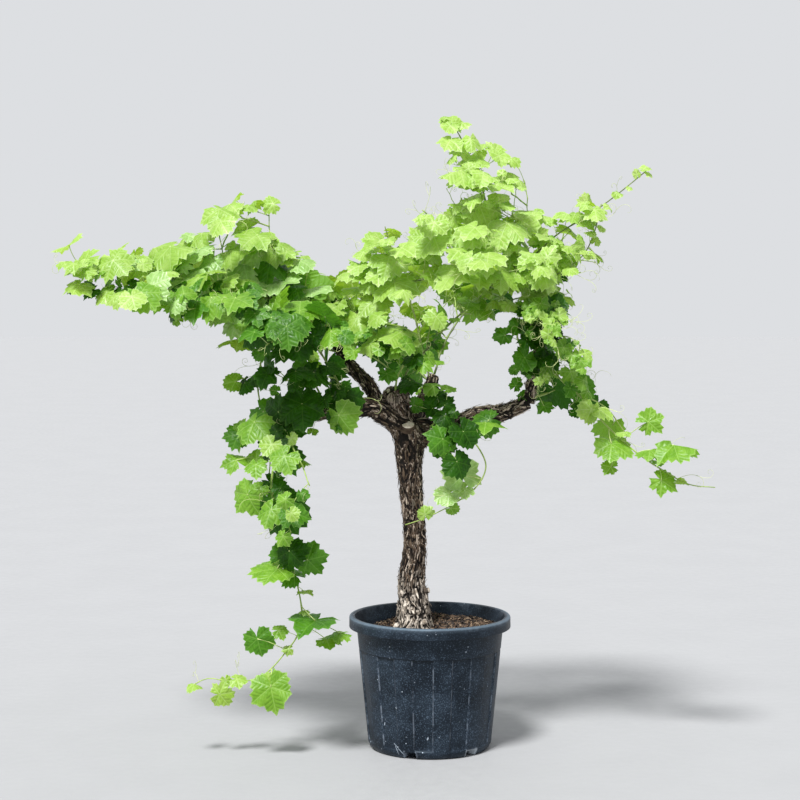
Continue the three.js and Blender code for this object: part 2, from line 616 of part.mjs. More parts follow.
function growLeaf(random, mass, place, along, side, reach) {
  const hang = mass.hang + mass.lift;
  const { out, rise, across } = crossWays(mass, place, along);
  across.multiplyScalar(side);
  const stalkWay = wander(random).multiplyScalar(STALK_WAYS.wander)
    .addScaledVector(across, STALK_WAYS.across).addScaledVector(rise, hung(STALK_WAYS.rise, hang))
    .addScaledVector(out, hung(STALK_WAYS.out, hang)).addScaledVector(along, STALK_WAYS.along).normalize();
  const stalk = reach * (STALK.shortest + STALK.spread * random());
  const midrib = wander(random).multiplyScalar(MIDRIB_WAYS.wander)
    .addScaledVector(across, MIDRIB_WAYS.across).addScaledVector(out, MIDRIB_WAYS.out)
    .addScaledVector(along, MIDRIB_WAYS.along).addScaledVector(UP, hung(MIDRIB_WAYS.up, hang)).normalize();
  const face = wander(random).multiplyScalar(FACE_WAYS.wander)
    .addScaledVector(UP, hung(FACE_WAYS.up, hang)).addScaledVector(out, hung(FACE_WAYS.out, hang))
    .addScaledVector(stalkWay, FACE_WAYS.stalk);
  face.addScaledVector(midrib, -face.dot(midrib)).normalize();
  const droop = BLADE.droop + BLADE.droopSpread * random();
  const foot = place.clone().addScaledVector(stalkWay, stalk);
  const middle = foot.clone().addScaledVector(midrib, MIDDLE * reach);
  return { place, foot, midrib, face, reach, droop, middle, stalkWay };
}

// Leaves stand by turns left and right along a cane, and every few of them a side twig starts
function growCane(random, mass, waypoints, radius, order) {
  const route = new Route(waypoints);
  const cane = { route, radius, leaves: [], twigs: [], order };
  const leafyEnd = order === 0 ? route.length * (mass.leafy ?? 1) : route.length;
  const twigsUntil = mass.twigsUntil ?? TWIG.until;
  const scale = LARGER * (order === 0 ? 1 : TWIG.reach);
  const tight = APART * (order === 0 ? 1 : TWIG.spacing);
  let side = random() < 0.5 ? -1 : 1;
  let distance = mass.spacing[0] * FIRST_LEAF[order];
  while (distance < Math.min(leafyEnd, route.length - BARE_TIP)) {
    const share = distance / route.length;
    const { place, along } = route.at(distance);
    const reach = scale * mix(mass.reach[0], mass.reach[1], share * share)
      * (SIZE_SPREAD[0] + SIZE_SPREAD[1] * random());
    const leaf = { ...growLeaf(random, mass, place, along, side, reach), distance };
    cane.leaves.push(leaf);
    if (order === 0 && cane.leaves.length % mass.twigEvery === 0 && share < twigsUntil) {
      cane.twigs.push({ ...growTwig(random, mass, place, along, -side), beside: leaf });
    }
    side = -side;
    distance += tight * mix(mass.spacing[0], mass.spacing[1], share)
      * (WAY_SPREAD[0] + WAY_SPREAD[1] * random());
  }
  return cane;
}

function growTwig(random, mass, place, along, side) {
  const { out, rise, across } = crossWays(mass, place, along);
  const way = wander(random).multiplyScalar(TWIG_WAYS.wander)
    .addScaledVector(across, TWIG_WAYS.across * side).addScaledVector(rise, TWIG_WAYS.rise)
    .addScaledVector(out, TWIG_WAYS.out).addScaledVector(along, TWIG_WAYS.along).normalize();
  const length = mix(TWIG.shortest, TWIG.longest, random());
  const sag = length * hung(TWIG.sag, mass.hang);
  const waypoints = [0, 0.33, 0.67, 1].map((share) => place.clone()
    .addScaledVector(way, length * share)
    .addScaledVector(UP, sag * share * share).toArray());
  return growCane(random, mass, waypoints, TWIG.radius, 1);
}

// Nearest place of a route to a sideways place and height, seen from the front
function nearest(route, x, z) {
  let found = { way: Infinity };
  for (let distance = 0; distance < route.length; distance += STANDING.search) {
    const { place } = route.at(distance);
    const way = Math.hypot(place.x - x, place.z - z);
    if (way < found.way) found = { way, distance };
  }
  return found;
}

// Adds the leaves that stand out, each to the cane that comes nearest to it. The blade lies square to its
// face, far enough along that from the stalk's root for the stalk to stand up under it.
function standOut(canes, rows) {
  rows.forEach(([x, z, turn, reach, tilt]) => {
    const ways = canes.map((cane) => ({ cane, ...nearest(cane.route, x, z) }));
    const { cane, distance: near } = ways.reduce((a, b) => (b.way < a.way ? b : a));
    const distance = Math.max(BARE_TIP, near - STANDING.back * reach);
    const { place } = cane.route.at(distance);
    const foot = new THREE.Vector3(x, place.y - STANDING.forward * reach, z);
    const face = new THREE.Vector3(0, -Math.cos(tilt * DEGREE), Math.sin(tilt * DEGREE));
    const midrib = new THREE.Vector3(Math.cos(turn * DEGREE), STANDING.lean, Math.sin(turn * DEGREE));
    midrib.addScaledVector(face, -midrib.dot(face)).normalize();
    const stalk = foot.clone().sub(place);
    const up = stalk.dot(face);
    const level = Math.sqrt(stalk.lengthSq() - up * up);
    foot.addScaledVector(face, Math.max(0, STANDING.steepness * level - up));
    cane.leaves.push({
      place,
      foot,
      midrib,
      face,
      reach,
      droop: BLADE.droop + BLADE.droopSpread / 2,
      middle: foot.clone().addScaledVector(midrib, MIDDLE * reach),
      stalkWay: foot.clone().sub(place).normalize(),
      distance,
      standsOut: true,
    });
  });
  canes.forEach((cane) => cane.leaves.sort((a, b) => a.distance - b.distance));
}

// Canes of one mass: the first, its shoots, the leaves that stand out on them, and the side twigs
function growMass(name, mass) {
  const random = makeRandom(mass.seed);
  const main = growCane(random, mass, mass.path, mass.radius, 0);
  const shoots = (mass.shoots ?? [])
    .map((path) => growCane(random, mass, path, [mass.radius[1], SHOOT_TIP_RADIUS], 0));
  standOut([main, ...shoots], STANDING_OUT[name] ?? []);
  return [main, ...shoots].flatMap((cane) => [cane, ...cane.twigs]);
}

// Stem: three straight facets from each ring to the next, with a ring a little past each leaf and more
// where the leaves are far apart
function stemSolid(cane) {
  const { route, radius, leaves } = cane;
  const distances = [0];
  const addRing = (distance) => {
    const last = distances[distances.length - 1];
    const steps = Math.ceil((distance - last) / STEM_STEP);
    for (let step = 1; step <= steps; step += 1) distances.push(mix(last, distance, step / steps));
  };
  leaves.forEach((leaf, i) => {
    addRing(mix(leaf.distance, leaves[i + 1]?.distance ?? route.length, RING_PAST_LEAF));
  });
  addRing(route.length - 0.01);
  const points = distances.map((distance) => route.at(distance).place);
  if (cane.root) points[0] = cane.root;
  leaves.forEach((leaf) => {
    const after = distances.findIndex((distance) => distance > leaf.distance);
    const share = (leaf.distance - distances[after - 1]) / (distances[after] - distances[after - 1]);
    leaf.root = points[after - 1].clone().lerp(points[after], share);
    leaf.rootRadius = STALK.root * mix(radius[0], radius[1], leaf.distance / route.length);
  });
  cane.twigs.forEach((twig) => {
    twig.root = twig.beside.root;
  });
  const widths = (share) => mix(radius[0], radius[1], share);
  return toSolid(loft(ringsAlong(points, 3, widths)));
}

// Rim of a blade, counter-clockwise seen from its face, drooping towards the lobes
function bladeRim({ foot, midrib, face, reach, droop }) {
  const across = face.clone().cross(midrib);
  const outline = [...LOBES, ...LOBES.slice(1, -1).reverse().map(([angle, share]) => [-angle, share])];
  return outline.map(([angle, share]) => foot.clone()
    .addScaledVector(midrib, Math.cos(angle * DEGREE) * share * reach)
    .addScaledVector(across, Math.sin(angle * DEGREE) * share * reach)
    .addScaledVector(face, -droop * share * share * reach));
}

// Blade alone: a fan of facets above and below, thickest where the stalk joins
function bladeSolid(leaf) {
  const rim = bladeRim(leaf);
  const half = Math.max(BLADE.thick * leaf.reach, BLADE.least) / 2;
  const middles = [half, -half].map((rise) => leaf.foot.clone().addScaledVector(leaf.face, rise));
  const points = [...rim, ...middles];
  const [top, bottom] = [rim.length, rim.length + 1];
  const triangles = rim.flatMap((_, i) => {
    const next = (i + 1) % rim.length;
    return [top, i, next, bottom, next, i];
  });
  return toSolid(indexedGeometry(points, triangles));
}

// Leaf: the blade and its three-sided stalk in one closed skin. The fan under the blade runs to the
// stalk's three corners, which stand under the first lobe on each side and under the notch.
function leafSolid(leaf) {
  const { root, rootRadius, foot, midrib, face, reach, stalkWay } = leaf;
  const rim = bladeRim(leaf);
  const across = face.clone().cross(midrib);
  const half = Math.max(BLADE.thick * reach, BLADE.least) / 2;
  const corners = STALK.corners.map((angle) => midrib.clone().multiplyScalar(Math.cos(angle * DEGREE))
    .addScaledVector(across, Math.sin(angle * DEGREE)));
  const upper = corners.map((corner) => foot.clone()
    .addScaledVector(face, -half).addScaledVector(corner, STALK.tip));
  const lower = corners.map((corner) => root.clone()
    .addScaledVector(corner.addScaledVector(stalkWay, -corner.dot(stalkWay)).normalize(), rootRadius));
  const points = [...rim, foot.clone().addScaledVector(face, half), ...upper, ...lower];
  const sides = rim.length;
  const top = sides;
  const up = (i) => sides + 1 + (i % 3);
  const low = (i) => sides + 4 + (i % 3);
  const cornerOver = (i) => Math.round(i / sides * 3 - 0.4) % 3;
  const triangles = rim.flatMap((_, i) => {
    const next = (i + 1) % sides;
    const own = cornerOver(i);
    const last = cornerOver((i + sides - 1) % sides);
    const change = own === last ? [] : [i, up(last), up(own)];
    return [top, i, next, up(own), next, i, ...change];
  });
  [0, 1, 2].forEach((i) => {
    triangles.push(low(i), low(i + 1), up(i + 1), low(i), up(i + 1), up(i));
  });
  triangles.push(low(0), low(2), low(1));
  return toSolid(indexedGeometry(points, triangles));
}

function largestBody(solid) {
  const bodies = solid.decompose();
  bodies.sort((a, b) => b.volume() - a.volume());
  return bodies[0];
}

// Trunk and arms: each arm is cut clear of the wood that carries it
function makeWood() {
  const wood = { trunk: toSolid(trunkGeometry(0)) };
  let grown = toSolid(trunkGeometry(CLEAR));
  Object.entries(LIMBS).forEach(([name, limb]) => {
    wood[name] = largestBody(toSolid(limbGeometry(limb, 0)).subtract(grown)).simplify(SLIVER);
    grown = grown.add(toSolid(limbGeometry(limb, CLEAR)));
  });
  return { wood, grown };
}

// Whether two boxes of solids come within a distance
function boxesMeet(a, b, distance) {
  return [0, 1, 2].every((i) => a.min[i] - distance < b.max[i] && b.min[i] - distance < a.max[i]);
}

function touches(solid, others, distance) {
  const box = solid.boundingBox();
  return others.some((other) => boxesMeet(box, other.box, distance)
    && solid.minGap(other.solid, distance + 1) < distance);
}

const boxed = (solid) => ({ solid, box: solid.boundingBox() });

// Whether a blade reaches into an opening, each of its places moved along the line of sight into the
// plane of the trunk
function inOpenAir({ foot, midrib, face, reach }) {
  const across = face.clone().cross(midrib);
  return BLADE_PLACES.some(([along, aside]) => {
    const place = foot.clone().addScaledVector(midrib, along * reach)
      .addScaledVector(across, aside * reach);
    const share = EYE[1] / (EYE[1] - place.y);
    const x = mix(EYE[0], place.x, share);
    const z = mix(EYE[2], place.z, share);
    return OPENINGS.some(([openX, openZ, radius]) => Math.hypot(x - openX, z - openZ) < radius);
  });
}

// Whether a leaf isn't crowded out, lies in no opening, and touches nothing but the stem at its own root
function standsClear(leaf, kept, strangers, ownStems) {
  const crowded = kept.some((other) => other.middle.distanceTo(leaf.middle)
    < CROWDING * (other.reach + leaf.reach));
  if (!leaf.standsOut && (crowded || inOpenAir(leaf))) return false;
  if (leaf.face.dot(leaf.stalkWay) < STALK.steepest) return false;
  if (touches(bladeSolid(leaf), ownStems, LEAF_CLEAR)) return false;
  return !touches(leafSolid(leaf), [...strangers, ...kept.map((other) => other.boxed)], LEAF_CLEAR);
}

// Grows every mass, and keeps a twig or leaf only where it stays clear of all else
function makeMasses({ wood, grown }) {
  const woods = Object.values(wood).map(boxed);
  const masses = Object.entries(MASSES).map(([name, mass]) => {
    const canes = growMass(name, mass);
    const mains = canes.filter((cane) => cane.order === 0)
      .map((cane) => ({ cane, ...boxed(stemSolid(cane)) }));
    return { name, canes, stems: mains, leaves: [] };
  });
  masses.forEach((own) => {
    const strange = masses.filter((mass) => mass !== own);
    own.canes.filter((cane) => cane.order > 0).forEach((cane) => {
      const stem = boxed(stemSolid(cane));
      const others = [...woods, ...strange.flatMap((mass) => mass.stems)];
      if (!touches(stem.solid, others, LEAF_CLEAR)) own.stems.push({ cane, ...stem });
    });
  });
  const kept = [];
  masses.forEach((own) => {
    const strange = masses.filter((mass) => mass !== own).flatMap((mass) => mass.stems);
    own.stems.forEach(({ cane }) => cane.leaves.forEach((grown) => {
      const leaf = SHRINKS.map((share) => ({ ...grown, reach: grown.reach * share }))
        .find((tried) => standsClear(tried, kept, [...woods, ...strange], own.stems));
      if (!leaf) return;
      const solid = leafSolid(leaf);
      kept.push({ ...leaf, boxed: boxed(solid) });
      own.leaves.push(solid);
    }));
  });
  return masses.map(({ name, stems, leaves }) => {
    const grownTogether = Manifold.union([...stems.map((stem) => stem.solid), ...leaves]);
    return [name, largestBody(grownTogether.subtract(grown)).simplify(SLIVER)];
  });
}

function named(name, geometry, material) {
  const mesh = new THREE.Mesh(geometry, material);
  mesh.name = name;
  return mesh;
}

const group = new THREE.Group();
group.add(named('pot', potGeometry(), colours.pot));
group.add(named('soil', soilGeometry(), colours.soil));
const timber = makeWood();
Object.entries(timber.wood).forEach(([name, solid]) => {
  group.add(named(name, toGeometry(solid), colours.bark));
});
makeMasses(timber).forEach(([name, solid]) => {
  group.add(named(name, toGeometry(solid), colours.leaf));
});

export default group;
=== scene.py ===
"""Looks of a potted standard grapevine: an old vine on its own short trunk, in a nursery pot.

Lengths are millimetres until put_piece writes a mesh in metres. Canes, twigs and leaves grow by the rule of
the part's source, along the same waypoints with seeds of their own, and go on to finer twigs and tendrils.
"""
import bpy
import math
import numpy as np
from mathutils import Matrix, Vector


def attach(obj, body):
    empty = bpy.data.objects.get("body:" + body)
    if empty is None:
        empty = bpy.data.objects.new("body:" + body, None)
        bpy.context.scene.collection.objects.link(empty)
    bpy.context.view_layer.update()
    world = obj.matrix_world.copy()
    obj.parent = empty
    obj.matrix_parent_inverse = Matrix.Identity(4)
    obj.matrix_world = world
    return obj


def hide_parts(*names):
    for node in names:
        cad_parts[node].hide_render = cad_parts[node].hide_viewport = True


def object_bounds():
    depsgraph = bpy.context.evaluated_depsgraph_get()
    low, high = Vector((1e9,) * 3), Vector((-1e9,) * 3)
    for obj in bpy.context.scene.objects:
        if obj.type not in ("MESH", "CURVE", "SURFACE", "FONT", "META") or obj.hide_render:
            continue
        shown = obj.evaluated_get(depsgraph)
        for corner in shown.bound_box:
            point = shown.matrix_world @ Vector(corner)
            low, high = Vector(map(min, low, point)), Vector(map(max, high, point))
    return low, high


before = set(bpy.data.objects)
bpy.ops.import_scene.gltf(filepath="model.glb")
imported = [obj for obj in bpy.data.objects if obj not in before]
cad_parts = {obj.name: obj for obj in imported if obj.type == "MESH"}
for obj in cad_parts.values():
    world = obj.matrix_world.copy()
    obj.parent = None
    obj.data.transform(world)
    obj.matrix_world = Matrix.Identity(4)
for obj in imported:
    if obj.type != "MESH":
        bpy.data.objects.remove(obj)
cad_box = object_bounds()

MM = 0.001
UP = np.array([0.0, 0.0, 1.0])
FULL_TURN = 2 * math.pi

# Pot, as in the source: a tapering wall with recessed panels between ribs, under a rolled rim. Angles of
# the ribs and notches are degrees, from the front towards the right.
POT_HEIGHT = 412
RIM_RADIUS = 251
RIM_LIP = 16
RIM_FOOT = POT_HEIGHT - 36
WALL_TOP_RADIUS = 228
WALL_TOP = POT_HEIGHT - 31
BASE_RADIUS = 190
WALL = 4
INNER_FLOOR = 40
PANEL_TOP = 311
PANEL_FOOT = 24
PANEL_DEPTH = 4.5
RIBS = 11
RIB_PERIOD = 360 / RIBS
RIB_ANGLE = 14.5
FIRST_RIB = 2.5
STEP_ANGLE = 1.2
NOTCH = {"count": 6, "first": 40.6, "height": 20, "depth": 25, "width": 37}
NOTCH_HALF = math.degrees(NOTCH["width"] / 2 / BASE_RADIUS)
NOTCH_EDGE = 0.25
SOIL_TOP = 368

# Trunk stations: height, sideways place, depth place, radius
TRUNK = np.array([
    [368.4, -47, 0, 60], [395, -48, 0, 51], [460, -52, 0, 46], [521, -58, 2, 41], [630, -47, 5, 34],
    [722, -50, 6, 33], [799, -57, 4, 35], [876, -63, 2, 38], [923, -65, 0, 43], [954, -61, 0, 52],
    [980, -61, 0, 60], [1003, -64, 2, 52], [1014, -66, 2, 30],
])
FLUTES = {"count": 5, "foot": 0.16, "shaft": 0.06, "pitch": 70, "flare": 90}

# Arms of old wood: path, and radii at even steps along it
LUMPS = {"round": 0.07, "turn": 9, "along": 0.05, "swellings": 26}
LIMBS = {
    "left_arm": ([[-77, -5, 994], [-139, -25, 1036], [-185, -42, 1062], [-260, -68, 1058],
                  [-318, -88, 1048], [-360, -100, 1040]], [38, 34, 31, 26, 22, 18]),
    "head_stub": ([[-83, 0, 1003], [-96, 2, 1062], [-105, 6, 1108]], [33, 31, 37]),
    "upper_left_arm": ([[-160, -30, 1064], [-188, -10, 1127], [-238, 18, 1175], [-270, 40, 1223],
                        [-293, 56, 1254]], [24, 22, 20, 19, 17]),
    "right_arm": ([[-43, 0, 980], [47, 10, 990], [99, 22, 1007], [156, 32, 1034], [234, 45, 1039],
                   [306, 55, 1070]], [40, 33, 33, 27, 25, 22]),
    "right_spur": ([[306, 55, 1067], [319, 60, 1141], [335, 65, 1216], [330, 69, 1262]], [20, 16, 14, 12]),
    "back_arm": ([[-55, 15, 994], [-30, 90, 1039], [-4, 170, 1089], [12, 230, 1136]], [36, 29, 24, 19]),
}
# Lumps of old bark at the head of the trunk, skinned like the limbs
KNOBS = {
    "shoulder": ([[-52, -12, 950], [-30, -18, 958], [-8, -22, 966], [-2, -23, 968]], [27, 26, 19, 14]),
    "stub_knob": ([[-104, 4, 1078], [-106, -6, 1098], [-104, -12, 1112]], [38, 38, 26]),
}
# Pruning stubs: place, way, radius, length
STUBS = {
    "head_scar": ((-68, -41, 993), (0.0, -0.52, 0.85), 20, 17),
    "trunk_nub": ((-16, -10, 487), (0.9, -0.35, 0.3), 8, 14),
    "elbow_stub": ((72, 14, 1012), (0.25, -0.35, 0.9), 9, 22),
    "pruned_twig": ((-262, 24, 1176), (-0.62, -0.55, -0.4), 4.5, 40),
    "left_spur": ((-228, -66, 1076), (-0.2, -0.4, 0.9), 7, 20),
    "head_spur": ((-120, -14, 1100), (-0.55, -0.6, 0.55), 8, 18),
}

FRONT, BACK = -1, 1


def foliage(**own):
    """A mass of foliage, with the usual value of what it doesn't state."""
    usual = dict(radius=[6, 3], facing=FRONT, every=3, until=0.8, leafy=1, crowding=0.33, paler=0.38,
                 shaded=0, shoots=[])
    return usual | own


# Masses of foliage, as in the source: path of the main cane, its radius, the leaves' reach and spacing at
# its root and tip, hang, lift, which comes on top of it for leaves, seed, the side that the leaves face, how
# often a twig starts and until which share of the cane, the share that bears leaves, and shoots. New here
# are size and apart, which change the leaves' reach and spacing, crowding, the share of two leaves' reach by
# which they keep apart, and light: how pale the leaves are, from 0 for old shaded ones to 1 for young ones
# in the sun. It grows by paler to the cane's tip and falls by up to shaded under pale shoots. A scratch
# program picked seed, size, apart and lift, as those whose leaves cover the plant in the photograph best.
# A mass's light picks lit and shaded copies of the leaf colour, so it paints light and shade as well as age.
MASSES = {
    "front_hanging": foliage(
        path=[[96, 20, 1003], [110, -30, 975], [146, -60, 941], [170, -70, 881], [139, -75, 818],
              [69, -75, 766], [-16, -70, 723], [-77, -65, 701]],
        radius=[4.5, 2.2], reach=[60, 24], spacing=[72, 90], hang=0.9, lift=-0.12, seed=7415, every=9,
        light=0.6, size=0.95, apart=1.5, leafy=0),
    "left_arm_leaves": foliage(
        path=[[-203, -46, 1059], [-226, -105, 1108], [-262, -140, 1112], [-292, -152, 1060]],
        radius=[5, 3], reach=[64, 48], spacing=[44, 40], hang=0.75, lift=0.1, seed=4634, light=0.3,
        size=1.15, apart=0.8),
    "centre_leaves": foliage(
        path=[[-111, 0, 1083], [-102, -50, 1148], [-68, -90, 1224], [-32, -120, 1298], [10, -140, 1371]],
        radius=[5.5, 3], reach=[72, 50], spacing=[46, 42], hang=0.6, lift=-0.05, seed=7250, every=2,
        light=0.42, size=1.05, apart=0.95),
    "head_leaves": foliage(
        path=[[-19, 0, 972], [30, -55, 1030], [55, -85, 1032], [62, -100, 985], [45, -105, 930]],
        radius=[5, 3], reach=[58, 44], spacing=[42, 36], hang=0.85, lift=0, seed=9271, light=-0.05,
        size=1.15, apart=1.1),
    "left_upper": foliage(
        path=[[-289, 54, 1246], [-348, 60, 1328], [-404, 60, 1375], [-522, 45, 1397], [-629, 30, 1419],
              [-742, 10, 1447], [-863, -10, 1463], [-983, -30, 1485], [-1085, -40, 1500]],
        reach=[74, 44], spacing=[58, 46], hang=0.35, lift=-0.12, seed=6999, light=0.52, size=1.15,
        apart=0.65,
        shoots=[[[-522, 45, 1397], [-500, 50, 1525], [-497, 45, 1633], [-506, 45, 1705]],
                [[-629, 30, 1419], [-638, 20, 1522], [-655, 10, 1627], [-661, 5, 1700]],
                [[-806, 0, 1456], [-814, -5, 1515], [-814, -10, 1570]],
                [[-404, 60, 1375], [-384, 50, 1450], [-374, 40, 1515]]]),
    "left_lower": foliage(
        path=[[-279, 47, 1225], [-346, 0, 1247], [-429, -50, 1289], [-518, -85, 1312], [-601, -110, 1343],
              [-814, -130, 1380], [-907, -135, 1404], [-1041, -145, 1420]],
        reach=[76, 50], spacing=[56, 50], hang=0.6, lift=0, seed=4737, light=0.2, size=0.95, apart=0.65,
        paler=0.7),
    "left_back": foliage(
        path=[[-287, 52, 1240], [-329, 130, 1304], [-412, 210, 1342], [-537, 260, 1363],
              [-693, 300, 1384], [-856, 310, 1410]],
        reach=[76, 48], spacing=[58, 50], hang=0.45, lift=0, seed=3278, facing=BACK, light=0.42, size=1.05,
        apart=0.65),
    "left_front": foliage(
        path=[[-245, -64, 1058], [-274, -120, 1132], [-325, -190, 1226], [-388, -250, 1304],
              [-467, -300, 1341], [-558, -330, 1342]],
        reach=[82, 52], spacing=[58, 50], hang=0.6, lift=-0.12, seed=4414, light=0.26, size=1.05, apart=0.65,
        paler=0.1),
    "hanging_left": foliage(
        path=[[-342, -94, 1042], [-395, -120, 1056], [-445, -145, 998], [-480, -165, 838],
              [-448, -165, 691], [-398, -150, 500], [-397, -140, 392], [-442, -135, 319],
              [-509, -130, 249], [-594, -125, 226], [-676, -120, 237], [-731, -115, 212]],
        radius=[5.5, 2.5], reach=[68, 40], spacing=[42, 96], hang=0.85, lift=-0.05, seed=3204, every=4,
        light=0.36, size=1.05, apart=0.95, until=0.4, leafy=0.42),
    "hanging_left_inner": foliage(
        path=[[-312, -84, 1052], [-356, -50, 1136], [-431, -20, 1217], [-505, -10, 1232],
              [-529, -20, 1140], [-516, -30, 1033], [-491, -40, 927], [-497, -45, 836]],
        radius=[5.5, 3], reach=[72, 42], spacing=[56, 50], hang=0.75, lift=-0.12, seed=9947, every=4,
        light=0.38, size=1.0, apart=1.3),
    "centre": foliage(
        path=[[-99, 5, 1089], [-71, 20, 1168], [-15, 30, 1230], [38, 38, 1292], [125, 42, 1372],
              [218, 42, 1453], [311, 40, 1518], [392, 35, 1590], [481, 30, 1646], [564, 25, 1704],
              [675, 15, 1794]],
        radius=[6, 2.5], reach=[74, 14], spacing=[56, 40], hang=0.35, lift=-0.3, seed=9298, light=0.72,
        size=1.0, apart=1.1, shaded=0.44),
    "mid_right": foliage(
        path=[[-259, 33, 1208], [-262, -10, 1278], [-231, -40, 1344], [-166, -60, 1399],
              [-47, -75, 1448], [91, -80, 1458], [223, -60, 1436], [366, -30, 1460], [458, -10, 1515],
              [499, -5, 1583], [524, -5, 1683]],
        radius=[6, 2.5], reach=[70, 22], spacing=[58, 46], hang=0.35, lift=-0.12, seed=7800, light=0.76,
        size=1.2, apart=0.65, crowding=0.38, shaded=0.58,
        shoots=[[[-166, -60, 1399], [-152, -60, 1480], [-142, -55, 1560], [-142, -50, 1625]],
                [[91, -80, 1458], [62, -70, 1550], [70, -60, 1640], [95, -50, 1700]]]),
    "top_shoot": foliage(
        path=[[330, 69, 1250], [314, 76, 1321], [286, 80, 1415], [258, 80, 1503], [220, 74, 1596],
              [182, 68, 1671], [157, 62, 1743], [119, 56, 1827], [94, 50, 1889], [62, 45, 1940]],
        radius=[6, 2.5], reach=[76, 24], spacing=[52, 34], hang=0.35, lift=-0.2, seed=441, every=2,
        light=0.84, size=1.3, apart=0.65, crowding=0.48, shaded=0.4,
        shoots=[[[258, 80, 1503], [292, 75, 1600], [302, 65, 1690], [290, 60, 1765]]]),
    "right_up": foliage(
        path=[[333, 66, 1222], [352, 95, 1289], [368, 115, 1367], [388, 120, 1452], [408, 120, 1540],
              [422, 115, 1605]],
        radius=[5.5, 3], reach=[70, 34], spacing=[52, 42], hang=0.4, lift=-0.12, seed=2775, every=2,
        light=0.74, size=1.0, apart=1.1),
    "right_inner": foliage(
        path=[[317, 59, 1129], [300, 10, 1200], [268, -20, 1280], [305, -40, 1350], [368, -45, 1330],
              [420, -50, 1255]],
        radius=[5, 3], reach=[46, 32], spacing=[34, 30], hang=0.8, lift=-0.12, seed=6846, every=2,
        light=0.4, size=0.95, apart=0.8),
    "hanging_right": foliage(
        path=[[331, 64, 1197], [360, 20, 1187], [407, -10, 1140], [473, -20, 1082], [543, -30, 1003],
              [631, -40, 924], [715, -50, 867], [794, -55, 825], [873, -60, 816]],
        radius=[5.5, 2.5], reach=[58, 36], spacing=[50, 58], hang=0.8, lift=0.1, seed=7124, light=0.7,
        size=0.78, apart=0.95, until=0.3, leafy=0.36),
    "right_back": foliage(
        path=[[296, 54, 1066], [364, 120, 1093], [465, 190, 1088], [565, 230, 1043], [631, 245, 961]],
        radius=[5, 3], reach=[62, 44], spacing=[52, 46], hang=0.7, lift=0, seed=3422, facing=BACK,
        light=0.42, size=1.05, apart=1.1),
    "back_left": foliage(
        path=[[8, 212, 1120], [-93, 300, 1209], [-256, 360, 1295], [-422, 390, 1359], [-587, 400, 1375]],
        reach=[74, 50], spacing=[58, 50], hang=0.5, lift=0.1, seed=4933, facing=BACK, every=2, light=0.45,
        size=1.05, apart=0.65),
    "back_up": foliage(
        path=[[6, 206, 1116], [-22, 236, 1234], [-54, 250, 1363], [-93, 245, 1460], [-118, 235, 1540],
              [-141, 225, 1620]],
        reach=[70, 32], spacing=[54, 44], hang=0.4, lift=-0.2, seed=5421, facing=BACK, every=2, light=0.58,
        size=1.15, apart=0.95),
    "back_right": foliage(
        path=[[12, 226, 1133], [53, 300, 1248], [136, 345, 1360], [269, 375, 1425], [401, 385, 1458],
              [499, 375, 1475]],
        reach=[74, 48], spacing=[58, 50], hang=0.5, lift=-0.05, seed=8565, facing=BACK, every=2, light=0.5,
        size=1.05, apart=0.65),
}
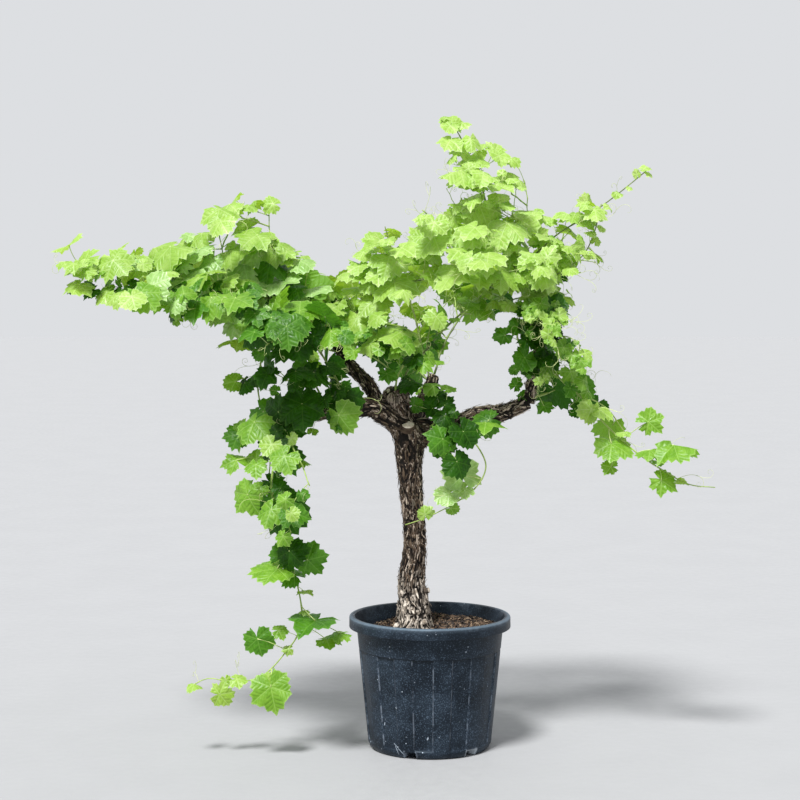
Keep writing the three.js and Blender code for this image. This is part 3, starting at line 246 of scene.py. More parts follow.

# Leaves that stand out one by one: sideways place and height of the blade's foot, the midrib's direction in
# degrees up from the right, reach, how far the face is turned up from the front, and light, where 2 is a
# silvery leaf. Nearly all rows were found or moved by scratch programs, which compared the scene with the
# photograph.
# Light picks the leaf's tone, so it paints light and shade as well as age; 2 gives the tone that paints a
# pale sheen.
STANDING_OUT = {
    "hanging_left": [
        (-450, 618, 54, 49, 12, 0.45), (-370, 610, 14, 64, 4, 0.4), (-411, 562, 124, 45, 53, 0.38),
        (-462, 585, 157, 82, 68, 0.5), (-382, 511, 80, 32, 82, 0.8), (-348, 425, 256, 89, 81, 0.45),
        (-525, 365, 284, 57, 5, 0.45), (-461, 390, 15, 33, 46, 0.6), (-485, 219, 282, 77, 17, 0.5),
        (-642, 192, 6, 47, 0, 0.85), (-589, 238, 357, 36, 57, 0.9), (-315, 363, 350, 52, 78, 0.5),
        (-721, 221, 300, 30, 78, 0.76), (-399, 916, 310, 40, 68, 0.63), (-494, 239, 90, 22, 8, 0.74),
        (-378, 452, 170, 22, 68, 0.85), (-431, 332, 190, 22, 30, 0.79), (-273, 383, 210, 52, 78, 0.69),
        (-359, 990, 80, 22, 50, 0.54), (-624, 234, 290, 22, 8, 0.8)],
    "hanging_right": [
        (668, 1017, 23, 56, 15, 0.6), (743, 948, 322, 82, 82, 0.62), (707, 838, 329, 57, 27, 0.62),
        (555, 878, 163, 35, 23, 0.6), (555, 951, 316, 74, 55, 0.55), (519, 1055, 266, 55, 70, 0.7),
        (444, 1053, 349, 32, 6, 0.2), (595, 985, 201, 27, 74, 0.75), (673, 931, 190, 52, 78, 0.59),
        (762, 831, 60, 30, 78, 0.8), (706, 893, 220, 30, 78, 0.5), (386, 1170, 350, 22, 30, 0.64)],
    "front_hanging": [
        (41, 944, 287, 49, 11, 0.12), (-35, 1003, 56, 39, 48, 0.15), (-51, 1064, 21, 32, 5, 0.35),
        (7, 1055, 176, 40, 22, 0.15), (97, 857, 100, 74, 17, 2), (103, 816, 218, 44, 42, 2),
        (56, 802, 200, 48, 50, 2), (63, 755, 353, 27, 1, 0.68), (170, 1016, 299, 71, 82, 0.5),
        (180, 1023, 193, 53, 26, 0.3), (-16, 735, 99, 29, 1, 0.85), (1, 746, 212, 20, 6, 0.85)],
    "right_inner": [
        (228, 1282, 190, 40, 8, 0.31), (266, 1122, 60, 30, 8, 0.36), (464, 1203, 230, 40, 68, 0.65),
        (288, 1086, 80, 30, 50, 0.45), (262, 1174, 230, 22, 8, 0.43), (355, 1059, 0, 40, 50, 0.32)],
    "centre": [
        (445, 1653, 260, 52, 68, 0.92), (575, 1719, 310, 22, 50, 0.95), (371, 1588, 170, 22, 68, 0.63),
        (374, 1628, 330, 22, 50, 0.95), (75, 1330, 310, 22, 68, 0.49)],
    "mid_right": [
        (70, 1641, 230, 40, 8, 0.86), (-263, 1194, 0, 40, 30, 0.15), (505, 1568, 70, 22, 30, 0.9),
        (83, 1566, 250, 22, 50, 0.83)],
    "hanging_left_inner": [
        (-595, 899, 110, 52, 50, 0.52), (-599, 1139, 180, 40, 30, 0.67), (-474, 1111, 160, 22, 8, 0.37),
        (-588, 978, 180, 52, 30, 0.36), (-569, 1245, 190, 30, 78, 0.83)],
    "left_lower": [(-584, 1273, 230, 66, 78, 0.73), (-760, 1330, 130, 22, 30, 0.47)],
    "left_upper": [(-485, 1685, 160, 40, 30, 0.89), (-391, 1523, 350, 22, 68, 0.87)],
    "top_shoot": [
        (64, 1932, 84, 46, 40, 0.8), (251, 1827, 210, 40, 68, 0.8), (336, 1660, 70, 22, 50, 0.8),
        (48, 1947, 180, 22, 68, 0.89), (169, 1867, 180, 30, 68, 0.95)],
    "back_up": [(-16, 1096, 100, 30, 50, 0.46), (23, 1186, 80, 30, 68, 0.57)],
    "head_leaves": [
        (20, 1096, 100, 44, 30, 0.2), (44, 1070, 50, 40, 15, 0.1), (8, 1128, 140, 34, 50, 0.5),
        (52, 1118, 70, 30, 60, 0.6)],
}

# Open air and bare wood that the photograph shows round and through the crown, where no leaf may lie:
# sideways place, height and radius of discs in the plane of the trunk, seen from the camera. Scratch programs
# found many of them in the photograph's outline.
EYE = np.array([-92.8, -5886.0, 1462.0])
OPENINGS = np.array([
    (-85, 1970, 88), (210, 1970, 88), (335, 1910, 88), (-70, 1835, 88), (520, 1820, 88), (-505, 1810, 88),
    (-640, 1800, 88), (395, 1760, 88), (-390, 1745, 88), (-770, 1745, 88), (-140, 1720, 88), (-5, 1715, 58),
    (710, 1665, 88), (-875, 1655, 88), (-260, 1645, 88), (-1005, 1620, 82), (-375, 1575, 37),
    (630, 1550, 88), (-300, 1515, 50), (570, 1430, 88), (500, 1305, 59), (-1005, 1275, 88),
    (-875, 1240, 88), (-745, 1200, 88), (605, 1200, 88), (135, 1155, 88), (765, 1140, 88), (-730, 1065, 88),
    (605, 1065, 39), (-595, 1060, 39), (800, 1010, 59), (-740, 930, 88), (265, 835, 88), (-720, 795, 88),
    (220, 705, 88), (-665, 670, 88), (-530, 645, 41), (105, 635, 88), (-235, 830, 129), (-228, 670, 101),
    (-204, 478, 130), (123, 1256, 60), (102, 1306, 30), (-469, 1194, 26), (-602, 1247, 28),
    (-346, 1108, 22), (-386, 1200, 19), (-290, 1231, 25), (-259, 1176, 25), (-222, 1145, 22),
    (-182, 1111, 25), (-139, 1062, 28), (-88, 1088, 42), (-65, 991, 40), (-65, 907, 43), (123, 1040, 19),
    (185, 1043, 19), (247, 1071, 19), (287, 1102, 19), (-108, 1349, 26), (-62, 1318, 24), (108, 1725, 20),
    (278, 1694, 14), (-725, 1648, 22), (-555, 1657, 16), (-463, 1617, 20), (-663, 1565, 24), (432, 1293, 22),
    (478, 1472, 18), (438, 1571, 16), (-93, 1580, 14), (-555, 1194, 22), (-185, 1200, 20), (-571, 839, 24),
    (-410, 840, 20), (-549, 753, 14), (531, 1108, 24), (376, 1123, 14), (62, 1364, 16), (-401, 1225, 14),
    (53, 1271, 14), (-401, 948, 14), (-5, 1402, 28), (245, 1420, 16), (55, 1512, 18),
])

# The source's growth rule. Ways are sums of axes by these weights. In a pair, the second number is what
# comes on top for each whole of the mass's hang or of a chance.
FACING = 0.6
STALK_WAYS = {"wander": 0.5, "across": 0.7, "rise": (0.65, -0.3), "out": (0.15, 0.55), "along": 0.25}
MIDRIB_WAYS = {"wander": 0.6, "across": 0.75, "out": 0.3, "along": 0.1, "up": (-0.15, -0.9)}
FACE_WAYS = {"wander": 0.6, "up": (1, -0.85), "out": (0.3, 0.7), "stalk": 0.6}
TWIG_WAYS = {"wander": 0.6, "across": 0.8, "rise": 0.35, "out": 0.35, "along": 0.35}
TENDRIL_WAYS = {"wander": 1, "across": -0.9, "out": 0.4, "along": 0.5}
STALK_LENGTH = (0.85, 0.4)
DROOP = (0.12, 0.2)
SIZE_SPREAD = (0.5, 0.65)
WAY_SPREAD = (0.85, 0.3)
SAG = (0.2, -0.75)
MIDDLE = 0.3
BARE_TIP = 6
PAST_LEAF = 9
SHOOT_TIP_RADIUS = 2.4
TENDRIL_CHANCE = 0.2
# By order, from main canes to twigs and finer twigs: the way to the first leaf in spacings, and the leaves'
# size and spacing in shares of the mass's own, which are those of the source's larger and fewer leaves
FIRST_LEAF = [1.1, 0.8, 0.5]
LIFE_REACH = [1.12, 0.98, 0.6]
LIFE_SPACING = [0.92, 0.85, 0.6]
LARGEST_REACH = 84
TWIGS = {1: dict(shortest=110, longest=230, radius=[4, 3]),
         2: dict(shortest=45, longest=120, radius=[2.2, 1.4])}
FINER_CHANCE = 0.42
# Shade under pale shoots: where it starts, over which height it grows, and what a leaf loses of its reach
SUNLIT_FOOT = 1420
SHADE_DEPTH = 170
SHADE_LOSS = 0.6
# Places on a blade, along its midrib and across it, in shares of its reach, that are tested against the
# limbs and openings, and how far leaves and twigs keep from the wood
BLADE_PLACES = np.array([(0, 0), (0.85, 0), (0.1, 0.75), (0.1, -0.75), (0.45, 0.4), (0.45, -0.4), (0.45, 0),
                         (-0.2, 0.4), (-0.2, -0.4)])
LEAF_CLEAR, TWIG_CLEAR = 2, 3
REACH_PAST_CAD = 22
REACH = np.array(cad_box) / MM + [[-REACH_PAST_CAD], [REACH_PAST_CAD]]


def mix(a, b, share):
    return a + (b - a) * share


def ramp(pair, amount):
    """The first number of a pair, and the second times the amount."""
    return pair[0] + pair[1] * amount


def unit(v):
    return v / np.linalg.norm(v, axis=-1, keepdims=True)


def square_to(v, way):
    return unit(v - way * (v * way).sum(-1, keepdims=True))


def smooth_step(x):
    x = np.clip(x, 0, 1)
    return x * x * (3 - 2 * x)


def bell(x, middle, width):
    """1 at the middle, less by the exponential of the square of the way off it in widths."""
    return np.exp(-((x - middle) / width) ** 2)


def way_round(a, b, whole):
    """The shorter way round between two angles, where whole is a full turn."""
    return np.abs((a - b + whole / 2) % whole - whole / 2)


def make_random(seed):
    """The source's stream of numbers from 0 to 1: multiplied, added to and kept under 2 to the 32nd."""
    state = seed

    def draw():
        nonlocal state
        state = (state * 1664525 + 1013904223) % 4294967296
        return state / 4294967296
    return draw


def curve_points(waypoints, samples):
    """Catmull-Rom curve: between two waypoints each coordinate is the cubic through both whose slope at
    each is half the way between its neighbours. The ends' neighbours are mirrored."""
    p = np.asarray(waypoints, float)
    p = np.vstack([2 * p[0] - p[1], p, 2 * p[-1] - p[-2]])
    spans = len(waypoints) - 1
    place = np.linspace(0, spans, spans * samples + 1)
    i = np.minimum(place.astype(int), spans - 1)
    t = (place - i)[:, None]
    start, end = p[i + 1], p[i + 2]
    slope, last_slope = (end - p[i]) / 2, (p[i + 3] - start) / 2
    bend = 3 * (end - start) - 2 * slope - last_slope
    return start + slope * t + bend * t**2 + (2 * (start - end) + slope + last_slope) * t**3


def walked(points):
    """The way walked along a line to each of its points."""
    return np.concatenate([[0], np.cumsum(np.linalg.norm(np.diff(points, axis=0), axis=1))])


def between(wanted, distances, values):
    """Rows of three values at the wanted distances, read between those that are known."""
    return np.stack([np.interp(wanted, distances, values[:, k]) for k in range(3)], -1)


def gathered(things, *keys):
    """For each key, an array with a row for each thing."""
    return [np.array([thing[key] for thing in things]) for key in keys]


class Route:
    """A smooth curve through waypoints, walked by distance."""

    def __init__(self, waypoints):
        self.points = curve_points(waypoints, 12)
        self.distances = walked(self.points)
        self.length = self.distances[-1]

    def at(self, distance):
        """Place and direction at a distance."""
        i = min(int(np.searchsorted(self.distances, distance, "right")) - 1, len(self.points) - 2)
        step = self.points[i + 1] - self.points[i]
        share = (distance - self.distances[i]) / (self.distances[i + 1] - self.distances[i])
        return self.points[i] + step * share, unit(step)

    def cut(self, distance):
        """Ends the route at a distance."""
        last = self.at(distance)[0]
        count = int(np.searchsorted(self.distances, distance))
        self.points = np.vstack([self.points[:count], last])
        self.distances = np.append(self.distances[:count], distance)
        self.length = distance

    def line(self, count):
        """Points at even distances from end to end."""
        return between(np.linspace(0, self.length, count), self.distances, self.points)


# Growth: canes, leaves, twigs, finer twigs and tendrils
def axes_at(mass, place, along, side):
    """The axes that ways are made of: out of the plant, up from the cane, and across it to one side."""
    away = unit(np.array([place[0] - TRUNK[0, 1], place[1], 0]))
    out = unit(np.array([0, mass["facing"], 0]) + away * (1 - FACING))
    steep = abs(along[2])
    rise = unit(UP * (1 - steep) + out * steep)
    return {"out": out, "rise": rise, "across": unit(np.cross(along, rise)) * side, "along": along, "up": UP}


def headed(draw, ways, axes, hang=0.0):
    """The sum of a random way and of the axes, each by its weight."""
    axes = axes | {"wander": np.array([draw() - 0.5, draw() - 0.5, draw() - 0.5])}
    return sum(axes[name] * (ramp(weight, hang) if isinstance(weight, tuple) else weight)
               for name, weight in ways.items())


def new_leaf(root, foot, midrib, face, reach, droop, stalk_way, share):
    return dict(root=root, foot=foot, midrib=midrib, face=face, reach=reach, droop=droop,
                stalk_way=stalk_way, share=share, middle=foot + midrib * MIDDLE * reach)


def grow_leaf(draw, mass, node, reach, share):
    """A leaf beside a cane: its stalk, then its midrib and the way that its face is turned."""
    _, place, along, side = node
    hang = mass["hang"] + mass["lift"]
    axes = axes_at(mass, place, along, side)
    stalk_way = unit(headed(draw, STALK_WAYS, axes, hang))
    stalk = reach * ramp(STALK_LENGTH, draw())
    midrib = unit(headed(draw, MIDRIB_WAYS, axes, hang))
    face = headed(draw, FACE_WAYS, axes | {"stalk": stalk_way}, hang)
    face = unit(face - midrib * (face @ midrib))
    return new_leaf(place, place + stalk_way * stalk, midrib, face, reach, ramp(DROOP, draw()), stalk_way,
                    share)


def in_shade(mass, place):
    """How much a place of a mass with pale shoots lies in the shade under them: from 0 to the mass's
    own share, over the height below the crown's sunlit top."""
    return mass["shaded"] * smooth_step((SUNLIT_FOOT - place[2]) / SHADE_DEPTH)


def grow_cane(draw, mass, waypoints, radius, order):
    """A cane with leaves by turns left and right, and a twig beside every few of them."""
    route = Route(waypoints)
    cane = dict(route=route, radius=radius, order=order, leaves=[], twigs=[], nodes=[])
    side = -1 if draw() < 0.5 else 1
    apart = LIFE_SPACING[order] * mass["apart"]
    distance = mass["spacing"][0] * FIRST_LEAF[order] * (1 if order < 2 else apart)
    end = min(route.length - BARE_TIP, route.length * (mass["leafy"] if order == 0 else 1))
    while distance < end:
        share = distance / route.length
        place, along = route.at(distance)
        reach = (LIFE_REACH[order] * mass["size"] * mix(*mass["reach"], share * share)
                 * ramp(SIZE_SPREAD, draw()))
        reach = min(reach, LARGEST_REACH) * (1 - SHADE_LOSS * in_shade(mass, place))
        node = (distance, place, along, side)
        cane["leaves"].append(grow_leaf(draw, mass, node, reach, share))
        cane["nodes"].append(node)
        if order == 0 and len(cane["leaves"]) % mass["every"] == 0 and share < mass["until"]:
            cane["twigs"].append(grow_twig(draw, mass, cane, (distance, place, along, -side), 1))
        side = -side
        distance += apart * mix(*mass["spacing"], share) * ramp(WAY_SPREAD, draw())
    return cane


def grow_twig(draw, mass, cane, node, order):
    """A side twig: straight away from the cane, and rising or sagging by the square of its way."""
    distance, place, along, side = node
    way = unit(headed(draw, TWIG_WAYS, axes_at(mass, place, along, side)))
    size = TWIGS[order]
    length = mix(size["shortest"], size["longest"], draw())
    sag = length * ramp(SAG, mass["hang"])
    waypoints = [place + way * length * share + UP * sag * share**2 for share in (0, 0.33, 0.67, 1)]
    return grow_cane(draw, mass, waypoints, size["radius"], order) | {"beside": (cane, distance)}


def stand_out(canes, leaves):
    """Adds the leaves that stand out, each to the cane that comes nearest to it, seen from the front. Its
    stalk comes from a little nearer the root, and its blade lies in the plane square to its face."""
    for x, z, turn, reach, tilt, light in leaves:
        ways = [np.hypot(cane["route"].points[:, 0] - x, cane["route"].points[:, 2] - z) for cane in canes]
        cane, way = min(zip(canes, ways), key=lambda pair: pair[1].min())
        route = cane["route"]
        distance = max(2.0, route.distances[int(way.argmin())] - 0.4 * reach)
        root, along = route.at(distance)
        foot = np.array([x, root[1] - 0.35 * reach, z])
        face = np.array([0, -math.cos(math.radians(tilt)), math.sin(math.radians(tilt))])
        pointing = np.array([math.cos(math.radians(turn)), -0.25, math.sin(math.radians(turn))])
        cane["leaves"].append(new_leaf(root, foot, square_to(pointing, face), face, reach, ramp(DROOP, 0.5),
                                       unit(foot - root), distance / route.length) | {"light": light})
        cane["nodes"].append((distance, root, along, 1 if foot[0] > root[0] else -1))


def grow_mass(name, mass):
    """A mass's canes: the source's main cane, shoots and twigs, then finer twigs and the leaves that stand
    out."""
    draw = make_random(mass["seed"])
    canes = [grow_cane(draw, mass, mass["path"], mass["radius"], 0)]
    for path in mass["shoots"]:
        canes.append(grow_cane(draw, mass, path, [mass["radius"][1], SHOOT_TIP_RADIUS], 0))
    long_canes = list(canes)
    canes += [twig for cane in canes for twig in cane["twigs"]]
    fine = make_random(mass["seed"] + 1000)
    finer = [grow_twig(fine, mass, cane, node, 2) for cane in canes for node in cane["nodes"]
             if fine() < FINER_CHANCE]
    stand_out(long_canes, STANDING_OUT.get(name, []))
    return canes + finer


def trim(canes):
    """Ends each side twig and shoot a little past its last leaf or twig, and leaves out those without."""
    kept = []
    for cane in reversed(canes):
        ends = [leaf["share"] * cane["route"].length for leaf in cane["leaves"]]
        ends += [twig["beside"][1] for twig in kept if twig.get("beside", (None,))[0] is cane]
        if cane is not canes[0]:
            if not ends:
                continue
            if max(ends) + PAST_LEAF < cane["route"].length:
                cane["route"].cut(max(ends) + PAST_LEAF)
        cane["nodes"] = sorted((node for node in cane["nodes"] if node[0] < cane["route"].length),
                               key=lambda node: node[0])
        kept.append(cane)
    return kept[::-1]


def grow_tendrils(mass, canes):
    """Tendrils opposite some of the leaves, as a place, a way, the axis that they turn about and three
    chances."""
    curl = make_random(mass["seed"] + 3000)
    tendrils = []
    for cane in canes:
        for _, place, along, side in cane["nodes"]:
            if curl() < TENDRIL_CHANCE:
                way = unit(headed(curl, TENDRIL_WAYS, axes_at(mass, place, along, side)))
                axis = unit(np.cross(way, headed(curl, {"wander": 1, "up": 1}, {"up": UP})))
                tendrils.append((place, way, axis, curl(), curl(), curl()))
    return tendrils


# Old wood: trunk and arms as lines with a radius, and the place of any point on their skin
def ring_arms(lines):
    """For lines (tubes, rings, 3), the two arms of each ring, square to the line and to each other. Each
    ring's first arm is the one before it, laid square to the line again."""
    way = unit(np.gradient(lines, axis=1))
    arm = np.empty_like(way)
    upright = np.abs(way[:, 0, 2:]) > 0.9
    arm[:, 0] = square_to(np.where(upright, [1.0, 0, 0], UP), way[:, 0])
    for ring in range(1, lines.shape[1]):
        arm[:, ring] = square_to(arm[:, ring - 1], way[:, ring])
    return arm, np.cross(way, arm)


class Wood:
    """A limb's line, radius and ring arms at even steps of its length."""

    def __init__(self, line, radius, arms, flutes, seed):
        self.line, self.radius, self.arms, self.flutes, self.seed = line, radius, arms, flutes, seed
        self.distances = walked(line)
        self.length = self.distances[-1]
        self.girth = FULL_TURN * float(np.median(radius))

    def skin(self, turn, distance, rise):
        """Place of the skin at a turn and distance, raised by rise: the line there, and its radius with
        the flutes along the turn of the two arms."""
        line, first, second = (between(distance, self.distances, values)
                               for values in (self.line, *self.arms))
        radius = self.radius_at(distance) * self.flutes(turn, distance / self.length, line[..., 2]) + rise
        outward = np.cos(turn)[..., None] * first + np.sin(turn)[..., None] * second
        return line + outward * radius[..., None], outward

    def radius_at(self, distance):
        return np.interp(distance, self.distances, self.radius)

    def straight(self, turn, distance):
        """The place, in metres, that a point of the skin has on the limb made straight."""
        radius = self.radius_at(distance)
        return np.stack([np.cos(turn) * radius, np.sin(turn) * radius, distance], -1) * MM


def make_wood():
    """The trunk has level rings with flutes that grow into buttresses at its foot. An arm has rings square
    to its line, with three lumps round it that turn slowly and swellings along it."""
    stations = curve_points(TRUNK, 24)
    line = stations[:, [1, 2, 0]]
    arms = [np.tile(axis, (len(line), 1)) for axis in ([1.0, 0, 0], [0, 1.0, 0])]

    def trunk_flutes(turn, share, height):
        foot = np.clip(1 - (height - TRUNK[0, 0]) / FLUTES["flare"], 0, 1)
        depth = mix(FLUTES["shaft"], FLUTES["foot"], foot)
        return 1 + depth * np.sin(FLUTES["count"] * turn + height / FLUTES["pitch"])

    def limb_lumps(turn, share, height):
        return (1 + LUMPS["round"] * np.sin(3 * turn + share * LUMPS["turn"])
                + LUMPS["along"] * np.sin(share * LUMPS["swellings"]))

    wood = {"trunk": Wood(line, stations[:, 3], arms, trunk_flutes, 1)}
    for seed, (name, (path, radii)) in enumerate((LIMBS | KNOBS).items(), 2):
        line = curve_points(path, 24)
        radius = np.interp(np.linspace(0, 1, len(line)), np.linspace(0, 1, len(radii)), radii)
        wood[name] = Wood(line, radius, [arm[0] for arm in ring_arms(line[None])], limb_lumps, seed)
    return wood


def in_wood(points, wood, clear):
    """Whether any of the points lies within a distance of a limb's skin."""
    for limb in wood.values():
        ways = np.linalg.norm(points[:, None] - limb.line[None, ::4], axis=-1)
        if (ways < limb.radius[None, ::4] + clear).any():
            return True
    return False


def blade_points(leaf):
    along, across = leaf["midrib"], np.cross(leaf["face"], leaf["midrib"])
    return leaf["foot"] + leaf["reach"] * (BLADE_PLACES[:, :1] * along + BLADE_PLACES[:, 1:] * across)


def in_open_air(points):
    """Whether any of the points, moved along its line of sight into the plane of the trunk, lies in an
    opening."""
    seen = EYE + (points - EYE) * (EYE[1] / (EYE[1] - points[:, 1:2]))
    ways = np.hypot(seen[:, :1] - OPENINGS[:, 0], seen[:, 2:] - OPENINGS[:, 1])
    return (ways < OPENINGS[:, 2]).any()


def past_reach(points):
    """Whether any of the points lies outside the source's box, grown a little."""
    return ((points < REACH[0]) | (points > REACH[1])).any()


# Meshes
class Pile:
    """Points, faces and marks of everything that ends up in one piece."""

    def __init__(self):
        self.points, self.faces, self.marks, self.count = [], {}, {}, 0

    def add(self, points, faces, **marks):
        points = np.asarray(points, float).reshape(-1, 3)
        for corners in faces:
            self.faces.setdefault(corners.shape[1], []).append(corners + self.count)
        for mark, values in marks.items():
            self.marks.setdefault(mark, []).append(np.asarray(values, float).reshape(len(points), -1))
        self.points.append(points)
        self.count += len(points)


def put_object(name, data):
    made = bpy.data.objects.new(name, data)
    bpy.context.scene.collection.objects.link(made)
    return made


def put_piece(name, pile, material, nodes=(), smooth=True):
    """Writes a pile as one mesh in metres, which rides on the body and stands for some CAD nodes."""
    mesh = bpy.data.meshes.new(name)
    points = np.concatenate(pile.points) * MM
    mesh.vertices.add(len(points))
    mesh.vertices.foreach_set("co", points.astype(np.float32).ravel())
    faces = [np.concatenate(group) for group in pile.faces.values()]
    corners = np.concatenate([group.ravel() for group in faces])
    sizes = np.concatenate([np.full(len(group), group.shape[1]) for group in faces])
    mesh.loops.add(len(corners))
    mesh.loops.foreach_set("vertex_index", corners.astype(np.int32))
    mesh.polygons.add(len(sizes))
    mesh.polygons.foreach_set("loop_start", (np.cumsum(sizes) - sizes).astype(np.int32))
    mesh.polygons.foreach_set("use_smooth", np.full(len(sizes), smooth))
    for mark, values in pile.marks.items():
        values = np.concatenate(values)
        kind, field = ("FLOAT", "value") if values.shape[1] == 1 else ("FLOAT_VECTOR", "vector")
        attribute = mesh.attributes.new(mark, kind, "POINT")
        attribute.data.foreach_set(field, values.astype(np.float32).ravel())
    mesh.update(calc_edges=True)
    mesh.validate()
    mesh.materials.append(material)
    piece = put_object(name, mesh)
    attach(piece, "root")
    if nodes:
        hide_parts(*nodes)


def grid_faces(rows, columns):
    """Quads between the rows of a grid whose columns close on themselves, counter-clockwise from outside
    where its rows go along a tube and its columns counter-clockwise round it."""
    row, column = np.mgrid[0:rows - 1, 0:columns]
    a, b = row * columns + column, row * columns + (column + 1) % columns
    return np.stack([a, b, b + columns, a + columns], -1).reshape(-1, 4)


def fan_faces(first, columns, pole, flip=False):
    """Triangles between a closed ring and a point."""
    ring = np.arange(columns)
    corners = [first + ring, first + (ring + 1) % columns, np.full(columns, pole)]
    return np.stack(corners[::-1] if flip else corners, -1)


def tube_faces(rings, sides):
    """Faces of a tube, and of the fans from its ends to two points that follow the rings."""
    count = rings * sides
    ends = [fan_faces(0, sides, count, flip=True), fan_faces(count - sides, sides, count + 1)]
    return [grid_faces(rings, sides), np.concatenate(ends)]


def repeated(faces, copies, points_each):
    """The same faces for each copy of a shape."""
    offsets = np.arange(copies)[:, None, None] * points_each
    return (faces[None] + offsets).reshape(-1, faces.shape[1])


def sweep(pile, lines, radii, sides, arms=None, flat=1.0, **marks):
    """Tubes along lines (tubes, rings, 3): round each point a ring of the radius, cos times its first arm
    and flat times sin times its second, and a point that closes each end."""
    tubes, rings = lines.shape[:2]
    first, second = ring_arms(lines) if arms is None else arms
    angle = np.arange(sides) / sides * FULL_TURN
    cos, sin = np.cos(angle)[:, None], np.sin(angle)[:, None]
    outward = cos * first[:, :, None] + flat * sin * second[:, :, None]
    skin = lines[:, :, None] + np.broadcast_to(radii, lines.shape[:2])[:, :, None, None] * outward
    points = np.concatenate([skin.reshape(tubes, -1, 3), lines[:, :1], lines[:, -1:]], axis=1)
    each = rings * sides + 2
    pile.add(points, [repeated(faces, tubes, each) for faces in tube_faces(rings, sides)],
             **{mark: np.repeat(values, each, axis=0) for mark, values in marks.items()})


# Leaves: corners round a blade, rings from stalk to margin, lobes, the notch behind the stalk and teeth
SPOKES = 36
RINGS = np.array([0.55, 1.0])
LOBES = {"turn": np.radians([0, 57, -57, 112, -112, 152, -152]),
         "length": np.array([1.0, 0.95, 0.95, 0.82, 0.82, 0.7, 0.7]), "half": math.radians(30)}
LOBE_DEPTH, DEPTH_SPREAD = (0.04, 0.36), (0.6, 1.4)
LENGTH_SPREAD, LOBE_SWING = (0.92, 1.06), math.radians(2.5)
STALK_NOTCH, STALK_NOTCH_HALF = 0.12, math.radians(20)
TOOTH, TOOTH_SPREAD = 0.075, (0.3, 1.4)
# How a blade bends, in shares of its reach: folds along the midrib, waves round the margin by their number,
# a bulge between veins, a curled margin on crisp leaves, a twist and a random crinkle
FOLD = (-0.7, 0.3)
WAVES = {3: (0.04, 0.14), 5: (0.01, 0.06)}
PLEAT, PLEAT_SPREAD = 0.06, (0.5, 1.3)
CURL = (0.3, 1.0)
TWIST = (-0.15, 0.15)
CRINKLE = 0.02
CRISP_NARROWING = 0.35
VEIN_STEP = math.radians(60)
# How far the fold's bottom is rounded, and how crisp the leaves of some masses are
FOLD_ROUND = 0.03
CRISP = {"right_inner": 0.4, "hanging_right": 0.2, "right_up": 0.1, "top_shoot": 0.05, "centre": 0.05}


def blade_margin(turn, rng, count):
    """Distance from the stalk to the margin round a blade, in shares of its reach. It is the longest of
    seven lobes, each shrinking from its length with the 1.5th power of the way off its middle, and drawn
    in to a notch behind the stalk."""
    depth = rng.uniform(*LOBE_DEPTH, (count, 1, 1)) * rng.uniform(*DEPTH_SPREAD, (count, 1, 7))
    lobes = LOBES["turn"] + rng.normal(0, LOBE_SWING, (count, 1, 7))
    length = LOBES["length"] * rng.uniform(*LENGTH_SPREAD, (count, 1, 7))
    off = way_round(turn[None, :, None], lobes, FULL_TURN) / LOBES["half"]
    margin = (length * (1 - depth * off**1.5)).max(-1)
    closing = smooth_step((math.pi - np.abs(turn)) / STALK_NOTCH_HALF)
    return mix(STALK_NOTCH, margin, closing)


def add_blades(pile, leaves, seed):
    """Blades as grids of rings and spokes. A point lies share * margin out from the stalk. It droops with
    the square of that way, folds along the midrib, waves round its margin and bulges between the veins."""
    rng = np.random.default_rng(seed)
    count = len(leaves)
    foot, midrib, face = gathered(leaves, "foot", "midrib", "face")
    across = np.cross(face, midrib)
    reach, droop, crisp = (values[:, None, None] for values in gathered(leaves, "reach", "droop", "crisp"))
    turn = (np.arange(SPOKES) - SPOKES // 2) / SPOKES * FULL_TURN
    margin = blade_margin(turn, rng, count)
    teeth = TOOTH * np.where(np.arange(SPOKES) % 2 == 0, 1, -1) * rng.uniform(*TOOTH_SPREAD, (count, SPOKES))
    share = RINGS[None, :, None]
    way = share * (margin[:, None] * (1 + teeth[:, None] * (share > 0.99)))
    x, y = way * np.cos(turn), way * np.sin(turn)

    def each(low, high):
        return rng.uniform(low, high, (count, 1, 1))
    fold = each(*FOLD)
    waves = sum(np.sin(number * turn + each(0, FULL_TURN)) * each(*size) for number, size in WAVES.items())
    bulge = each(*PLEAT_SPREAD) * PLEAT * np.sin(math.pi * turn / VEIN_STEP) ** 2 * share
    curl = crisp * each(*CURL) * share**4 * (0.6 + 0.4 * np.cos(4 * turn + each(0, 6)))
    twist = each(*TWIST) * x * y
    crinkle = rng.normal(0, CRINKLE, way.shape) * (1 - 0.3 * share)
    folded = fold * (np.hypot(y, FOLD_ROUND) - FOLD_ROUND)
    height = (-droop * way**2 + folded + (waves * (1 + 2 * crisp)) * way**2
              + bulge + curl + twist + crinkle)
    y = y * (1 - CRISP_NARROWING * crisp * share**2)
    points = (foot[:, None, None] + reach[..., None] * (x[..., None] * midrib[:, None, None]
              + y[..., None] * across[:, None, None] + height[..., None] * face[:, None, None]))
    points = np.concatenate([points.reshape(count, -1, 3), foot[:, None]], axis=1)
    pole = len(RINGS) * SPOKES
    faces = [grid_faces(len(RINGS), SPOKES), fan_faces(0, SPOKES, pole, flip=True)]
    faces = [repeated(corners, count, pole + 1)[:, ::-1] for corners in faces]

    def with_pole(values):
        return np.concatenate([values.reshape(count, -1), np.zeros((count, 1))], axis=1)
    own = np.stack([with_pole(x * reach * MM), with_pole(y * reach * MM),
                    np.repeat(rng.random((count, 1)), pole + 1, axis=1)], -1)
    pile.add(points, faces, rim=with_pole(np.broadcast_to(share, way.shape)), blade=own)


